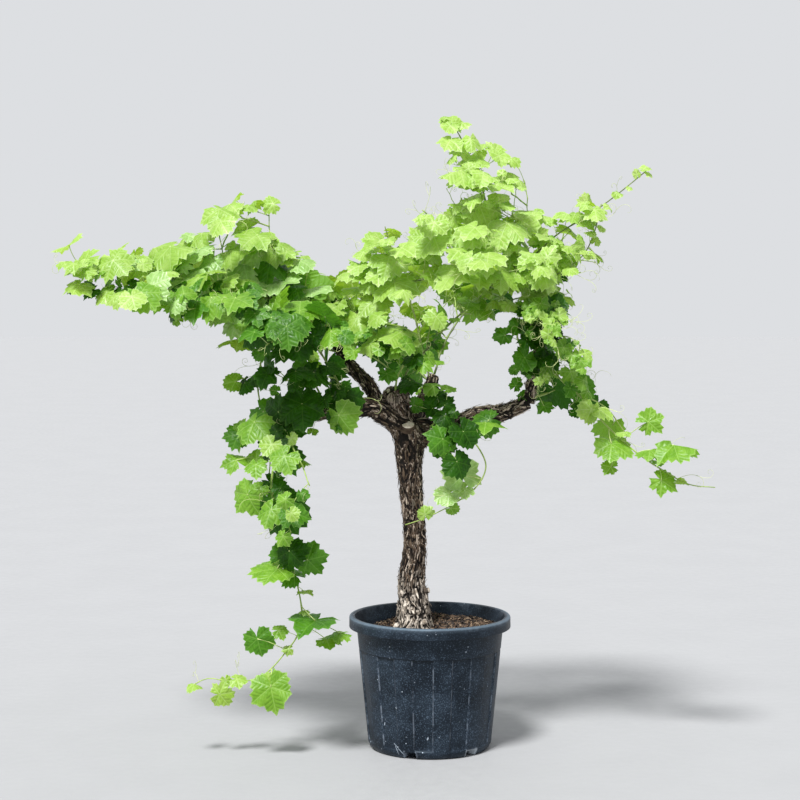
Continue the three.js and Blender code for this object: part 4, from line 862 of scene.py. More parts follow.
# Stalks: how far they arch in shares of their length, then their radius: in shares of the leaf's reach at
# the middle and on top of that at the ends, and what comes on top everywhere
STALK_BOW = 0.22
STALK_MIDDLE, STALK_END, STALK_CORE = 0.017, 0.012, 0.25


def add_stalks(pile, leaves, seed):
    """Leaf stalks: from the cane to the blade along a shallow arch, thicker at both ends."""
    rng = np.random.default_rng(seed)
    root, foot, stalk_way, reach = gathered(leaves, "root", "foot", "stalk_way", "reach")
    length = np.linalg.norm(foot - root, axis=1)[:, None, None]
    share = np.linspace(0, 1, 6)[None, :, None]
    bow = square_to(rng.normal(0, 1, root.shape) + UP, stalk_way)[:, None]
    lines = root[:, None] + (foot - root)[:, None] * share + bow * length * STALK_BOW * share * (1 - share)
    thick = STALK_MIDDLE + STALK_END * (2 * share[..., 0] - 1) ** 4
    sweep(pile, lines, reach[:, None] * thick + STALK_CORE, 4)


# Canes: their thickness as a share of the source's, the length and height of the swelling at a leaf, and how
# far the cane is shifted there
CANE_THICKNESS = 0.62
SWELLING, SWOLLEN = 5.0, 0.3
KNEE = 1.6
# Canes from this radius on are ripe. Rings and sides of canes by order.
RIPE_RADIUS = 5.6
CANE_GRIDS = [(64, 7), (14, 5), (8, 4)]


def add_cane(pile, cane):
    """A cane: a tube along its route, tapering from root to tip, with a small knee and swelling at each
    leaf."""
    rings, sides = CANE_GRIDS[cane["order"]]
    route, nodes = cane["route"], cane["nodes"]
    line = route.line(rings)
    distance = np.linspace(0, route.length, rings)
    radius = np.linspace(*cane["radius"], rings) * CANE_THICKNESS
    for node in nodes:
        radius = radius * (1 + SWOLLEN * bell(distance, node[0], SWELLING))
    if nodes:
        places = np.array([0] + [node[0] for node in nodes] + [route.length])
        shifts = np.array([0] + [node[3] for node in nodes] + [0]) * KNEE
        ways = [unit(np.cross(node[2], UP + 0.01)) for node in nodes]
        line = line + between(distance, places, np.array([ways[0], *ways, ways[-1]]) * shifts[:, None])
    sweep(pile, line[None], radius[None], sides)


# Tendrils: length, how far the root and the tip turn in radians, drift and sag in shares of a step, the
# radii of stem and arm at both ends, their rings, and the ring at which the stem forks
TENDRIL_LENGTH, ROOT_TURN, TIP_TURN = (70, 170), (-0.6, 0.6), (2.0, 11.0)
TENDRIL_DRIFT, TENDRIL_SAG = 0.25, 0.35
STEM_RADII, ARM_RADII = (0.8, 0.4), (0.65, 0.35)
STEM_RINGS, ARM_RINGS, FORK = 20, 14, 7


def tendril_line(tendril, rings):
    """A tendril: a heading that turns faster and faster in a plane towards the tip, with a slow drift out of
    the plane. Each point is the sum of the steps before it."""
    place, way, axis, a, b, c = tendril
    share = np.linspace(0, 1, rings)[:, None]
    length = mix(*TENDRIL_LENGTH, a)
    heading = mix(*ROOT_TURN, b) * share + mix(*TIP_TURN, c) * np.where(b > 0.5, 1, -1) * share**3.2
    drift = TENDRIL_DRIFT * np.sin(share * 5 + 6 * a)
    steps = (np.cos(heading) * way + np.sin(heading) * np.cross(axis, way) + drift * axis
             - UP * TENDRIL_SAG * share * (1 - share))
    line = np.cumsum(unit(steps), axis=0) * (length / rings)
    return place + line - line[:1]


def add_tendril(pile, tendril):
    """A tendril forks a third of the way up: its arm leaves the stem there, with its own turn. One that
    would run past the source's reach is left out."""
    _, _, axis, a, b, c = tendril
    stem = tendril_line(tendril, STEM_RINGS)
    along = unit(stem[FORK + 1] - stem[FORK])
    arm = tendril_line((stem[FORK], unit(along + 0.5 * axis), axis, a * 0.5, 1 - b, 1 - c), ARM_RINGS)
    if past_reach(stem) or past_reach(arm):
        return
    for line, radii in ((stem, STEM_RADII), (arm, ARM_RADII)):
        sweep(pile, line[None], np.linspace(*radii, len(line))[None], 3)


# Bark: width, length and height of its strips, in three sizes, and where its mean height lies
RELIEF = {"plate": (14, 30, 4.6), "strip": (5.6, 12, 3.8), "fibre": (2.6, 6, 1.8)}
DEEPEST = sum(deep for _, _, deep in RELIEF.values())
MEAN_HEIGHT = 0.68
# Loose strips: how many grow on a square millimetre of bark, and how pale they are
STRIPS = {"head_stub": (0.01, 0.8, 1.5), "stub_knob": (0.024, 1.3, 1.9), "shoulder": (0.006, 0.5, 1.2),
          "right_arm": (0.004, 0.6, 1.4)}
PLAIN_STRIPS = (0.0034, 0.4, 1.2)
STRIP_LENGTH, STRIP_WIDTH, STRIP_LIFT = (9, 34), (1.2, 3.6), (1.5, 7)


def lattice_noise(around, along, cells, rng):
    """Values from 0 to 1: random numbers at the corners of a grid that closes on itself round the limb,
    joined by smooth steps. around is in turns and along in cells."""
    along = along - along.min()
    table = rng.random((int(along.max()) + 2, cells))
    column = (around % 1) * cells
    i, j = along.astype(int), column.astype(int)
    u, v = smooth_step(along - i), smooth_step(column - j)
    near, far = j % cells, (j + 1) % cells
    return mix(mix(table[i, near], table[i, far], v), mix(table[i + 1, near], table[i + 1, far], v), u)


def bark_relief(turn, distance, girth, seed):
    """Height of the bark in shares from 0 in a fissure to 1 on a ridge, and in millimetres. Each of three
    sizes of strip is the root of how far a noise is from its middle, which leaves narrow clefts."""
    rng = np.random.default_rng(seed)
    around = turn / FULL_TURN
    drift = 0.09 * (lattice_noise(around, distance / 55, 4, rng) - 0.5)
    total = 0
    for wide, long, deep in RELIEF.values():
        noise = lattice_noise(around + drift, distance / long, max(6, round(girth / wide)), rng)
        total = total + deep * np.sqrt(np.abs(2 * noise - 1))
    return total / DEEPEST, total - MEAN_HEIGHT * DEEPEST


def add_bark(pile, limb, columns, step, strength):
    """A limb's skin on a grid of turns and distances, raised by the bark's relief, closed at both ends.
    grain holds each point's place on the limb made straight, so that fibres follow it."""
    rows = max(12, int(limb.length / step))
    distance, turn = np.meshgrid(np.linspace(0, limb.length, rows),
                                 np.arange(columns) / columns * FULL_TURN, indexing="ij")
    high, rise = bark_relief(turn, distance, limb.girth, limb.seed)
    ends = smooth_step(np.minimum(distance, limb.length - distance) / 8)
    points, _ = limb.skin(turn, distance, rise * strength * mix(0.3, 1.0, ends))
    points = np.concatenate([points.reshape(-1, 3), limb.line[:1], limb.line[-1:]])
    poles = [[0, 0, 0], [0, 0, limb.length * MM]]
    straight = np.concatenate([limb.straight(turn, distance).reshape(-1, 3), poles])
    high = np.concatenate([high.ravel(), [0.3, 0.3]])
    pile.add(points, tube_faces(rows, columns), high=high, grain=straight)


def add_strips(pile, limb, count, paleness, seed):
    """Loose strips of bark: flat ribbons along the limb, tight to it at one end and lifting with the square
    of the way towards the other."""
    rng = np.random.default_rng(seed)
    rings = 7
    share = np.linspace(0, 1, rings)[None]

    def each(low, high):
        return rng.uniform(low, high, (count, 1))
    length = np.minimum(each(*STRIP_LENGTH), 0.8 * limb.length)
    start = each(0, 1) * (limb.length - length)
    backwards = rng.random((count, 1)) < 0.5
    distance = start + length * share
    turn = each(0, FULL_TURN) + rng.normal(0, 0.13, (count, 1)) * share
    free = np.where(backwards, 1 - share, share)
    lines, outward = limb.skin(turn, distance, 0.6 + each(*STRIP_LIFT) * free**2)
    way = unit(np.gradient(lines, axis=1))
    width = each(*STRIP_WIDTH) * np.sqrt(np.sin(math.pi * mix(0.06, 0.94, share)))
    side = unit(np.cross(way, outward))
    sweep(pile, lines, width, 5, arms=(side, np.cross(way, side)), flat=0.24, high=each(*paleness),
          grain=limb.straight(turn, distance)[:, rings // 2])


def add_stub(bark, ends, place, way, radius, length, seed):
    """A short cut branch: a tube that narrows a little from its collar, and its cut end as a shallow disc
    of rings."""
    rng = np.random.default_rng(seed)
    sides = 16
    way = unit(np.array(way, float))
    share = np.linspace(0, 1, 7)[:, None]
    line = np.array(place, float) + way * length * share
    radii = radius * (1.25 - 0.25 * np.sqrt(share[:, 0])) * (1 + rng.normal(0, 0.05, 7))
    first, second = ring_arms(line[None])
    sweep(bark, line[None], radii[None], sides, high=np.array([[0.7]]),
          grain=np.array([[radius * MM, 0, length * MM]]))
    angle = np.arange(sides) / sides * FULL_TURN
    rings = np.array([0.25, 0.5, 0.75, 0.93])
    outward = np.cos(angle)[:, None] * first[0, -1] + np.sin(angle)[:, None] * second[0, -1]
    lift = 1.2 - 0.9 * rings[:, None, None] ** 2
    points = line[-1] + rings[:, None, None] * outward * radii[-1] + way * lift
    points = np.concatenate([points.reshape(-1, 3), [line[-1] + way * 1.2]])
    spots = np.concatenate([np.repeat(rings, sides) * radius, [0]]) * MM
    faces = [grid_faces(len(rings), sides)[:, ::-1], fan_faces(0, sides, len(rings) * sides)]
    ends.add(points, faces, ring=spots)


# Pot: height and depth of the line over its panels, and how worn the edges are
GROOVE_HEIGHT = PANEL_TOP - 1.5
GROOVE_DEPTH = 1.5
WEAR = {"step": 1.5, "rim": 0.35, "foot": 0.3, "notch": 1.2}


def arc(centre, radius, start, stop, count):
    """Points of a profile on a round corner, by angle in degrees from outwards to up."""
    angle = np.radians(np.linspace(start, stop, count))
    return [(centre[0] + radius * math.cos(a), centre[1] + radius * math.sin(a)) for a in angle]


def wall_radius(height):
    return mix(BASE_RADIUS, WALL_TOP_RADIUS, height / WALL_TOP)


def pot_profile():
    """Radius and height down the middle of the underside, up the outer wall, over the rim and down the
    inner wall to the middle of the floor, and how many of the points are outside."""
    heights = [16, 19.4, 20.6, PANEL_FOOT, PANEL_FOOT + 1.5, PANEL_FOOT + 3,
               *np.linspace(PANEL_FOOT + 12, PANEL_TOP - 12, 14), PANEL_TOP - 3, PANEL_TOP - 1.5, PANEL_TOP,
               PANEL_TOP + 1.5, PANEL_TOP + 4, PANEL_TOP + 25, RIM_FOOT - 6]
    outside = [(0, 0), (60, 0), (140, 0), (160, 0), (172, 0), *arc((BASE_RADIUS - 14, 12), 12, -90, -8, 6)]
    outside += [(wall_radius(z), z) for z in heights]
    outside += [(wall_radius(RIM_FOOT) + 0.6, RIM_FOOT - 1.2), (wall_radius(RIM_FOOT) + 2.5, RIM_FOOT)]
    outside += [(RIM_RADIUS - 5, RIM_FOOT), *arc((RIM_RADIUS - 2.4, RIM_FOOT + 2.2), 2.2, -90, 0, 4)]
    outside += [(RIM_RADIUS - 0.6, RIM_FOOT + 16), *arc((RIM_RADIUS - 7.5, POT_HEIGHT - 7), 7, 0, 100, 8)]
    outside += [(RIM_RADIUS - RIM_LIP + 2, POT_HEIGHT - 1.2)]
    outside += arc((RIM_RADIUS - RIM_LIP + 0.6, POT_HEIGHT - 3.8), 2.6, 95, 200, 5)
    inner = wall_radius(RIM_FOOT) - PANEL_DEPTH - WALL
    inside = [(inner + 1, RIM_FOOT + 2), (inner, RIM_FOOT - 4), (inner - 1.4, 350)]
    inside += [(wall_radius(z) - PANEL_DEPTH - WALL, z) for z in (300, 200, 60)]
    inside += [(150, INNER_FLOOR), (80, INNER_FLOOR), (0, INNER_FLOOR)]
    return np.array(outside + inside), len(outside)


def pot_columns():
    """Angles in degrees: dense at the edges of ribs and notches, sparse between. With them come the way of
    each into its rib and panel, and its way off the nearest notch's middle."""
    within = [0, 0.5, RIB_ANGLE * 0.25, RIB_ANGLE * 0.5, RIB_ANGLE * 0.75, RIB_ANGLE - 0.5, RIB_ANGLE,
              RIB_ANGLE + 0.4, RIB_ANGLE + 0.9, RIB_ANGLE + STEP_ANGLE, RIB_ANGLE + STEP_ANGLE + 0.6]
    wide = RIB_PERIOD - STEP_ANGLE - 0.6 - within[-1]
    within += [within[-1] + wide * share for share in (0.2, 0.4, 0.6, 0.8, 1.0)]
    within += [RIB_PERIOD - STEP_ANGLE, RIB_PERIOD - 0.8, RIB_PERIOD - 0.4]
    ribs = (FIRST_RIB + np.arange(RIBS)[:, None] * RIB_PERIOD + np.array(within)).ravel()
    half = NOTCH_HALF
    centres = NOTCH["first"] + np.arange(NOTCH["count"]) * 360 / NOTCH["count"]
    edges = (centres[:, None] + np.array([-half - NOTCH_EDGE, -half, half, half + NOTCH_EDGE])).ravel()
    angles = np.sort(np.concatenate([ribs % 360, edges % 360]))
    angles = angles[np.concatenate([[True], np.diff(angles) > 0.02])]
    past = (angles - FIRST_RIB) % RIB_PERIOD
    into = smooth_step((past - RIB_ANGLE) / STEP_ANGLE) * smooth_step((RIB_PERIOD - past) / STEP_ANGLE)
    return angles, into, way_round(angles[:, None], centres, 360).min(1)


def add_pot(pile):
    """The profile turned round, with the panels pressed in between the ribs and the notches pressed into
    the foot, up to their roofs. wear marks the edges where the surface turns, and scuff the notch at the
    right.
    edge is a painted highlight along the rim's top, and a third mark darkens the deep line over the panels as
    painted shade and the wall just under the rim as a painted shadow."""
    profile, outer = pot_profile()
    angles, into, off = pot_columns()
    across, up = profile[:, :1], profile[:, 1:]
    all_round = np.ones(len(angles))
    outside = (np.arange(len(profile)) < outer)[:, None]
    half, roof_height, innermost = NOTCH_HALF, NOTCH["height"], BASE_RADIUS - NOTCH["depth"]
    upright = smooth_step((up - PANEL_FOOT) / 3) * smooth_step((PANEL_TOP - up) / 3) * outside
    radius = across - PANEL_DEPTH * upright * into
    radius = radius - GROOVE_DEPTH * bell(up, GROOVE_HEIGHT, 1.6) * outside * (1 - into)
    cut = np.clip((half + NOTCH_EDGE - off) / NOTCH_EDGE, 0, 1) * outside * (up < roof_height)
    radius = radius - cut * np.maximum(0, radius - innermost)
    roof = cut * (across > innermost - 6) * (across < BASE_RADIUS - 8)
    height = mix(up, np.maximum(up, roof_height * 0.98), roof)
    turn = np.radians(angles)
    points = np.stack([np.sin(turn) * radius, -np.cos(turn) * radius, height], -1)

    step = np.abs(np.gradient(into)) * upright
    rim = bell(up, POT_HEIGHT - 5, 5) * (across > WALL_TOP_RADIUS)
    foot = bell(up, 6, 7) * outside * (across > BASE_RADIUS - 16)
    near_notch = bell(off, half, 0.3) * (up < roof_height + 6) * outside
    wear = step * WEAR["step"] + rim * WEAR["rim"] + foot * WEAR["foot"] + WEAR["notch"] * near_notch
    # Painted highlight: a pale line along the outer top of the rim.
    edge = bell(up, POT_HEIGHT - 3, 4) * (across > RIM_RADIUS - 9)
    # Painted shade: a dark line in the groove over the panels, and a painted shadow on the wall just under
    # the rim.
    painted_rim_shadow = smooth_step((up - RIM_FOOT + 9) / 9) * (up <= RIM_FOOT)
    groove = 0.8 * bell(up, GROOVE_HEIGHT, 1.8) + 0.9 * painted_rim_shadow
    right_notch = way_round(angles, NOTCH["first"], 360)
    sides = bell(right_notch, half, 0.8) * (up < roof_height + 2)
    top = bell(up, roof_height, 3) * (right_notch < half + 0.8)
    scuff = np.clip((sides + top) * 0.7, 0, 0.8) * outside
    pile.add(points, [grid_faces(len(profile), len(angles))], wear=np.clip(wear, 0, 1),
             edge=edge * all_round, groove=groove * outside * all_round, scuff=scuff)


# Soil and bark chips: count and two colours of each kind of chip
SOIL_RADIUS = 217.5
CHIPS = {"chips_tan": (420, (0.13, 0.084, 0.05), (0.31, 0.225, 0.15)),
         "chips_brown": (900, (0.07, 0.042, 0.025), (0.15, 0.092, 0.055)),
         "chips_dark": (1300, (0.012, 0.008, 0.006), (0.036, 0.022, 0.015))}
CHIP_HALVES = [(3, 9.5), (1.6, 3.8), (0.6, 1.6)]
CHIPS_REACH = 207
# Chips: how far they are bent and rough, how they tilt and roll in radians, and how high they lie
CHIP_BEND, CHIP_ROUGH = 3, 0.9
CHIP_TILT, CHIP_ROLL, CHIP_LIFT = 0.35, 0.4, (0.5, 5)


def soil_height(x, y):
    """The soil's top: higher at the back and right, with slow waves."""
    slope = 14 * smooth_step((x + 0.7 * y + 150) / 300) - 4
    waves = 4 * np.sin(x / 31 + 1.3) * np.sin(y / 27) + 2.5 * np.sin(x / 13 + y / 17)
    return SOIL_TOP - 6 + slope + waves


def add_soil(pile):
    """A disc of rings and spokes at the soil's height."""
    rings, spokes = 40, 96
    radius, turn = np.meshgrid(np.linspace(4, SOIL_RADIUS, rings), np.arange(spokes) / spokes * FULL_TURN,
                               indexing="ij")
    x, y = radius * np.cos(turn), radius * np.sin(turn)
    rough = np.random.default_rng(5).normal(0, 1.6, x.shape)
    points = np.stack([x, y, soil_height(x, y) + rough], -1).reshape(-1, 3)
    points = np.concatenate([points, [[0, 0, SOIL_TOP - 2]]])
    pile.add(points, [grid_faces(rings, spokes)[:, ::-1], fan_faces(0, spokes, rings * spokes)])


def add_chips(pile, count, seed):
    """Bark chips: bent boxes of three corners by two along their length, thrown flat with a random tilt."""
    rng = np.random.default_rng(seed)
    reach = np.sqrt(rng.uniform(0, 1, count)) * CHIPS_REACH
    turn = rng.uniform(0, FULL_TURN, count)
    x, y = reach * np.cos(turn), reach * np.sin(turn)
    size = np.stack([rng.uniform(*half, count) for half in CHIP_HALVES], -1)
    square = ((-1, -1), (1, -1), (1, 1), (-1, 1))
    corners = np.array([(u, v, w) for u in (-1, 0, 1) for v, w in square], float)
    shape = corners[None] * size[:, None]
    shape[..., 2] += rng.uniform(-CHIP_BEND, CHIP_BEND, (count, 1)) * (1 - corners[None, :, 0] ** 2)
    shape += rng.normal(0, CHIP_ROUGH, shape.shape)
    spin = rng.uniform(0, FULL_TURN, count)
    tilt, roll = rng.normal(0, CHIP_TILT, count), rng.normal(0, CHIP_ROLL, count)
    for angle, a, b in ((roll, 1, 2), (tilt, 0, 2), (spin, 0, 1)):
        cos, sin = np.cos(angle)[:, None], np.sin(angle)[:, None]
        first, second = shape[..., a], shape[..., b]
        shape[..., a], shape[..., b] = first * cos - second * sin, first * sin + second * cos
    centre = np.stack([x, y, soil_height(x, y) + rng.uniform(*CHIP_LIFT, count)], -1)
    faces = np.concatenate([grid_faces(3, 4), [[3, 2, 1, 0], [8, 9, 10, 11]]])
    pile.add(centre[:, None] + shape, [repeated(faces, count, 12)])


# Materials
class Nodes:
    """A node tree, with a method for each kind of node that the looks share."""

    def __init__(self, tree):
        self.tree = tree

    def put(self, kind, inputs=None, **settings):
        """A new node's outputs. Its inputs are values or sockets to link, and a colour is three numbers."""
        made = self.tree.nodes.new("ShaderNode" + kind)
        for name, value in settings.items():
            setattr(made, name, value)
        for name, value in (inputs or {}).items():
            socket = made.inputs[name]
            if isinstance(value, bpy.types.NodeSocket):
                self.tree.links.new(value, socket)
            else:
                socket.default_value = (*value, 1.0) if socket.type == "RGBA" else value
        return made.outputs

    def math(self, how, *values):
        return self.put("Math", dict(enumerate(values)), operation=how)[0]

    def vector(self, how, *values):
        """A sum with vectors, whose second output is a length or distance."""
        return self.put("VectorMath", dict(enumerate(values)), operation=how)[how in ("LENGTH", "DISTANCE")]

    def noise(self, place, scale, detail, rough=0.5):
        inputs = {"Vector": place, "Scale": scale, "Detail": detail, "Roughness": rough}
        return self.put("TexNoise", inputs)["Fac"]

    def blend(self, share, first, second):
        """Mix of two colours."""
        return self.put("Mix", {0: share, 6: first, 7: second}, data_type="RGBA")[2]

    def ranged(self, value, low, high, to_low=0.0, to_high=1.0):
        """A value from one range to another by a smooth step, kept inside it."""
        return self.put("MapRange", {"Value": value, "From Min": low, "From Max": high, "To Min": to_low,
                                     "To Max": to_high}, interpolation_type="SMOOTHSTEP")[0]

    def up_to(self, most, value):
        """A value from 0 to 1, to one from 0 to most by a smooth step."""
        return self.ranged(value, 0.0, 1.0, 0.0, most)

    def place(self):
        return self.put("TexCoord")["Object"]

    def parts(self, vector):
        return self.put("SeparateXYZ", {0: vector})

    def mark(self, name, output="Fac"):
        """A mark that the pile gave to the mesh's points."""
        return self.put("Attribute", attribute_name=name)[output]

    def bumped(self, height, strength, distance):
        return self.put("Bump", {"Height": height, "Strength": strength, "Distance": distance})[0]

    def group(self, name, **inputs):
        return self.put("Group", inputs, node_tree=GROUPS[name])

    def mottled(self, place, size, first, second):
        return self.group("mottle", Place=place, Size=size, First=first, Second=second)["Colour"]

    def skin(self, tone, rough, normal, specular=0.5, tint=(1, 1, 1)):
        return self.put("BsdfPrincipled", {"Base Color": tone, "Roughness": rough, "Normal": normal,
                                           "Specular IOR Level": specular, "Specular Tint": tint})[0]


def new_material(name):
    """The nodes of a new material, and a function that gives it its shader and returns it."""
    material = bpy.data.materials.new(name)
    material.use_nodes = True
    material.node_tree.nodes.clear()
    look = Nodes(material.node_tree)

    def finish(shader):
        look.put("OutputMaterial", {0: shader})
        return material
    return look, finish


def new_group(name, inputs, outputs):
    """An empty shader node group with these sockets, and a function that links its outputs."""
    tree = bpy.data.node_groups.new(name, "ShaderNodeTree")
    for label, kind in inputs.items():
        tree.interface.new_socket(label, in_out="INPUT", socket_type="NodeSocket" + kind)
    for label in outputs:
        kind = "Color" if label == "Colour" else "Float"
        tree.interface.new_socket(label, in_out="OUTPUT", socket_type="NodeSocket" + kind)
    out = tree.nodes.new("NodeGroupOutput").inputs

    def finish(**results):
        for label, socket in results.items():
            tree.links.new(socket, out[label])
        return tree
    return Nodes(tree), tree.nodes.new("NodeGroupInput").outputs, finish


def make_mottle():
    """Colour that wanders between two tones by a noise."""
    look, given, finish = new_group(
        "mottle", {"Place": "Vector", "Size": "Float", "First": "Color", "Second": "Color"}, ["Colour"])
    mask = look.ranged(look.noise(given["Place"], given["Size"], 4.0, 0.6), 0.32, 0.68)
    return finish(Colour=look.blend(mask, given["First"], given["Second"]))


def make_dust():
    """Fine pale dust: dense grain where a fine noise is high, thicker in patches, and separate round specks,
    each in its own cell and only in some cells."""
    look, given, finish = new_group(
        "dust", {"Place": "Vector", "Grain": "Float", "Specks": "Float", "Share": "Float"},
        ["Grain", "Specks", "Patches"])
    place = given["Place"]
    here = look.ranged(look.noise(place, 9.0, 6.0, 0.62), 0.34, 0.66)
    level = look.math("MULTIPLY_ADD", here, 0.05, look.noise(place, given["Grain"], 1.0, 0.6))
    cells = look.put("TexVoronoi", {"Vector": place, "Scale": given["Specks"]})
    chance = look.put("SeparateColor", {0: cells["Color"]})
    there = look.math("LESS_THAN", chance[0], given["Share"])
    round_spot = look.ranged(cells["Distance"], 0.08, 0.2, 1.0, 0.0)
    specks = look.math("MULTIPLY", look.math("MULTIPLY", round_spot, chance[2]), there)
    return finish(Grain=look.ranged(level, 0.57, 0.72), Specks=specks, Patches=here)


def make_fibres():
    """Fibres along the third axis of a place: noise stretched that way, as a mask and a height."""
    look, given, finish = new_group("fibres", {"Place": "Vector", "Stretch": "Vector", "Size": "Float"},
                                    ["Mask", "Height"])
    fine = look.noise(look.vector("MULTIPLY", given["Place"], given["Stretch"]), given["Size"], 2.0, 0.55)
    return finish(Mask=look.ranged(fine, 0.37, 0.63), Height=fine)


def make_veins():
    """Veins of a blade from its flat places: main ones at even angles round the stalk, side ones that
    slant off them at even ways. away is the way from the nearest main vein, along the arc."""
    look, given, finish = new_group("veins", {"Blade": "Vector"}, ["Main", "Side", "Pillow"])
    flat = look.vector("MULTIPLY", given["Blade"], (1, 1, 0))
    reach = look.vector("LENGTH", flat)
    parts = look.parts(flat)
    away = look.math("MULTIPLY", look.math("PINGPONG", look.math("ARCTAN2", parts["Y"], parts["X"]),
                                           VEIN_STEP / 2), reach)
    slant = look.math("PINGPONG", look.math("MULTIPLY_ADD", away, -0.8, reach), 0.006)
    pillow = look.math("MULTIPLY", look.ranged(away, 0.0, 0.008), look.ranged(slant, 0.0, 0.005))
    return finish(Main=look.ranged(away, 0.0004, 0.002, 1.0, 0.0),
                  Side=look.ranged(slant, 0.0, 0.0014, 1.0, 0.0), Pillow=pillow)


GROUPS = {"mottle": make_mottle(), "dust": make_dust(), "fibres": make_fibres(), "veins": make_veins()}


# How much of a blade's colour is deep green in its hollows, as painted shade, vein, pale margin, underside or
# glow, and how much of its light comes through it
LEAF_SHARES = {"painted_hollow_shade": 0.35, "side": 0.11, "main": 0.4, "margin": 0.45, "under": 0.7, "glow": 0.6,
               "through": 0.36}


def leaf_material(name, tone):
    """A vine blade: mottled green puckered between its veins, with painted shade in the puckers' hollows,
    pale veins and margin, a duller underside, and some light through it."""
    look, finish = new_material(name)
    deep, vein, gloss = tone["deep"], tone["vein"], tone["gloss"]
    green = look.mottled(look.place(), 34.0, deep, tone["light"])
    own = look.mark("blade", "Vector")
    veins = look.group("veins", Blade=own)
    puckers = look.noise(own, 80.0, 4.0, 0.6)
    share = LEAF_SHARES
    # Painted shade: the blade turns deep green where the puckers' bump is low.
    hollow_shaded = look.blend(look.ranged(puckers, 0.3, 0.7, share["painted_hollow_shade"], 0.0), green, deep)
    veined = look.blend(look.up_to(share["side"], veins["Side"]), hollow_shaded, vein)
    veined = look.blend(look.up_to(share["main"], veins["Main"]), veined, vein)
    edged = look.blend(look.ranged(look.mark("rim"), 0.9, 1.0, 0.0, share["margin"]), veined, vein)
    back = look.put("NewGeometry")["Backfacing"]
    turned = look.blend(look.up_to(share["under"], back), edged, tone["under"])
    normal = look.bumped(look.math("ADD", puckers, veins["Pillow"]), 0.4, 0.003)
    skin = look.skin(turned, look.ranged(puckers, 0.3, 0.7, gloss, gloss + 0.16), normal, tone["sheen"])
    glow = look.blend(share["glow"], turned, tone["glow"])
    through = look.put("BsdfTranslucent", {"Color": glow, "Normal": normal})[0]
    return finish(look.put("MixShader", {0: share["through"], 1: skin, 2: through})[0])


def plain_material(name, first, second, size, rough, bump=0.3):
    """A mottled finish with a fine grain in its roughness and surface."""
    look, finish = new_material(name)
    place = look.place()
    tone = look.mottled(place, size, first, second)
    grain = look.noise(place, size * 9, 3.0)
    roughness = look.ranged(grain, 0.3, 0.7, rough - 0.08, rough + 0.08)
    return finish(look.skin(tone, roughness, look.bumped(grain, bump, 0.0006)))


# Bark colours, among them the near-black painted shade of the clefts, the middle of the pale patch on the
# knob of the head, and the heights between which the peeled foot of the trunk ends, both in metres
BARK = {"cleft": (0.007, 0.0045, 0.003), "crack": (0.014, 0.009, 0.006), "low": (0.062, 0.038, 0.024),
        "ridge": (0.15, 0.104, 0.069), "flake": (0.52, 0.42, 0.335), "peeled": (0.32, 0.26, 0.2),
        "bleached": (0.8, 0.71, 0.61)}
PALE_STUB = (-0.104, 0.0, 1.09)
PEELED = (0.38, 0.54)


def bark_material():
    """Old vine bark: black-brown in the clefts, made nearly black there by painted shade, and grey-brown on
    the ridges, with pale flaked fibres along the limb, more of them on the right arm as painted light, and
    nearly all pale where it has peeled at the foot of the trunk."""
    look, finish = new_material("vine_bark")
    place, grain, high = look.place(), look.mark("grain", "Vector"), look.mark("high")
    fibres = look.group("fibres", Place=grain, Stretch=(1, 1, 0.4), Size=300.0)
    flakes = look.group("fibres", Place=grain, Stretch=(1, 1, 0.45), Size=190.0)["Mask"]
    ridge = look.mottled(place, 30.0, BARK["low"], BARK["ridge"])
    peeled = look.mottled(place, 70.0, BARK["peeled"], BARK["bleached"])
    parts = look.parts(place)
    # Painted light: the bark of the right arm and spur, right of the trunk, gets more pale flakes, as if in
    # sun. A patch round the knob on the head gets more of them too.
    arm = look.ranged(parts["X"], 0.02, 0.1, 0.0, 0.27)
    stub = look.ranged(look.vector("DISTANCE", place, PALE_STUB), 0.03, 0.06, 0.27, 0.0)
    raised = look.math("MULTIPLY_ADD", flakes, high, look.math("MAXIMUM", arm, stub))
    flaked = look.blend(look.ranged(raised, 0.46, 0.62, 0.0, 0.95), ridge, BARK["flake"])
    foot = look.ranged(look.math("MULTIPLY_ADD", flakes, -0.1, parts["Z"]), *PEELED, 1.0, 0.0)
    top = look.blend(foot, flaked, peeled)
    dark = look.ranged(fibres["Mask"], 0.1, 0.7, look.ranged(foot, 0.0, 1.0, 0.92, 0.55), 0.0)
    streaked = look.blend(dark, top, look.blend(0.8, top, BARK["crack"]))
    # Painted shade: where the relief is low, in the clefts, the darker bark there turns nearly black.
    shaded = look.blend(look.ranged(high, 0.46, 0.65), BARK["cleft"], streaked)
    return finish(look.skin(shaded, 0.85, look.bumped(fibres["Height"], 0.9, 0.004), 0.3))


def cut_material():
    """Dried cut wood: pale tan with growth rings that darken to its edge."""
    look, finish = new_material("cut_wood")
    tone = look.mottled(look.place(), 90.0, (0.58, 0.47, 0.37), (0.86, 0.77, 0.67))
    wave = look.math("SINE", look.math("MULTIPLY", look.mark("ring"), 2200.0))
    ringed = look.blend(look.ranged(wave, 0.2, 1.0, 0.0, 0.45), tone, (0.36, 0.26, 0.18))
    return finish(look.skin(ringed, 0.8, look.bumped(wave, 0.3, 0.0005)))


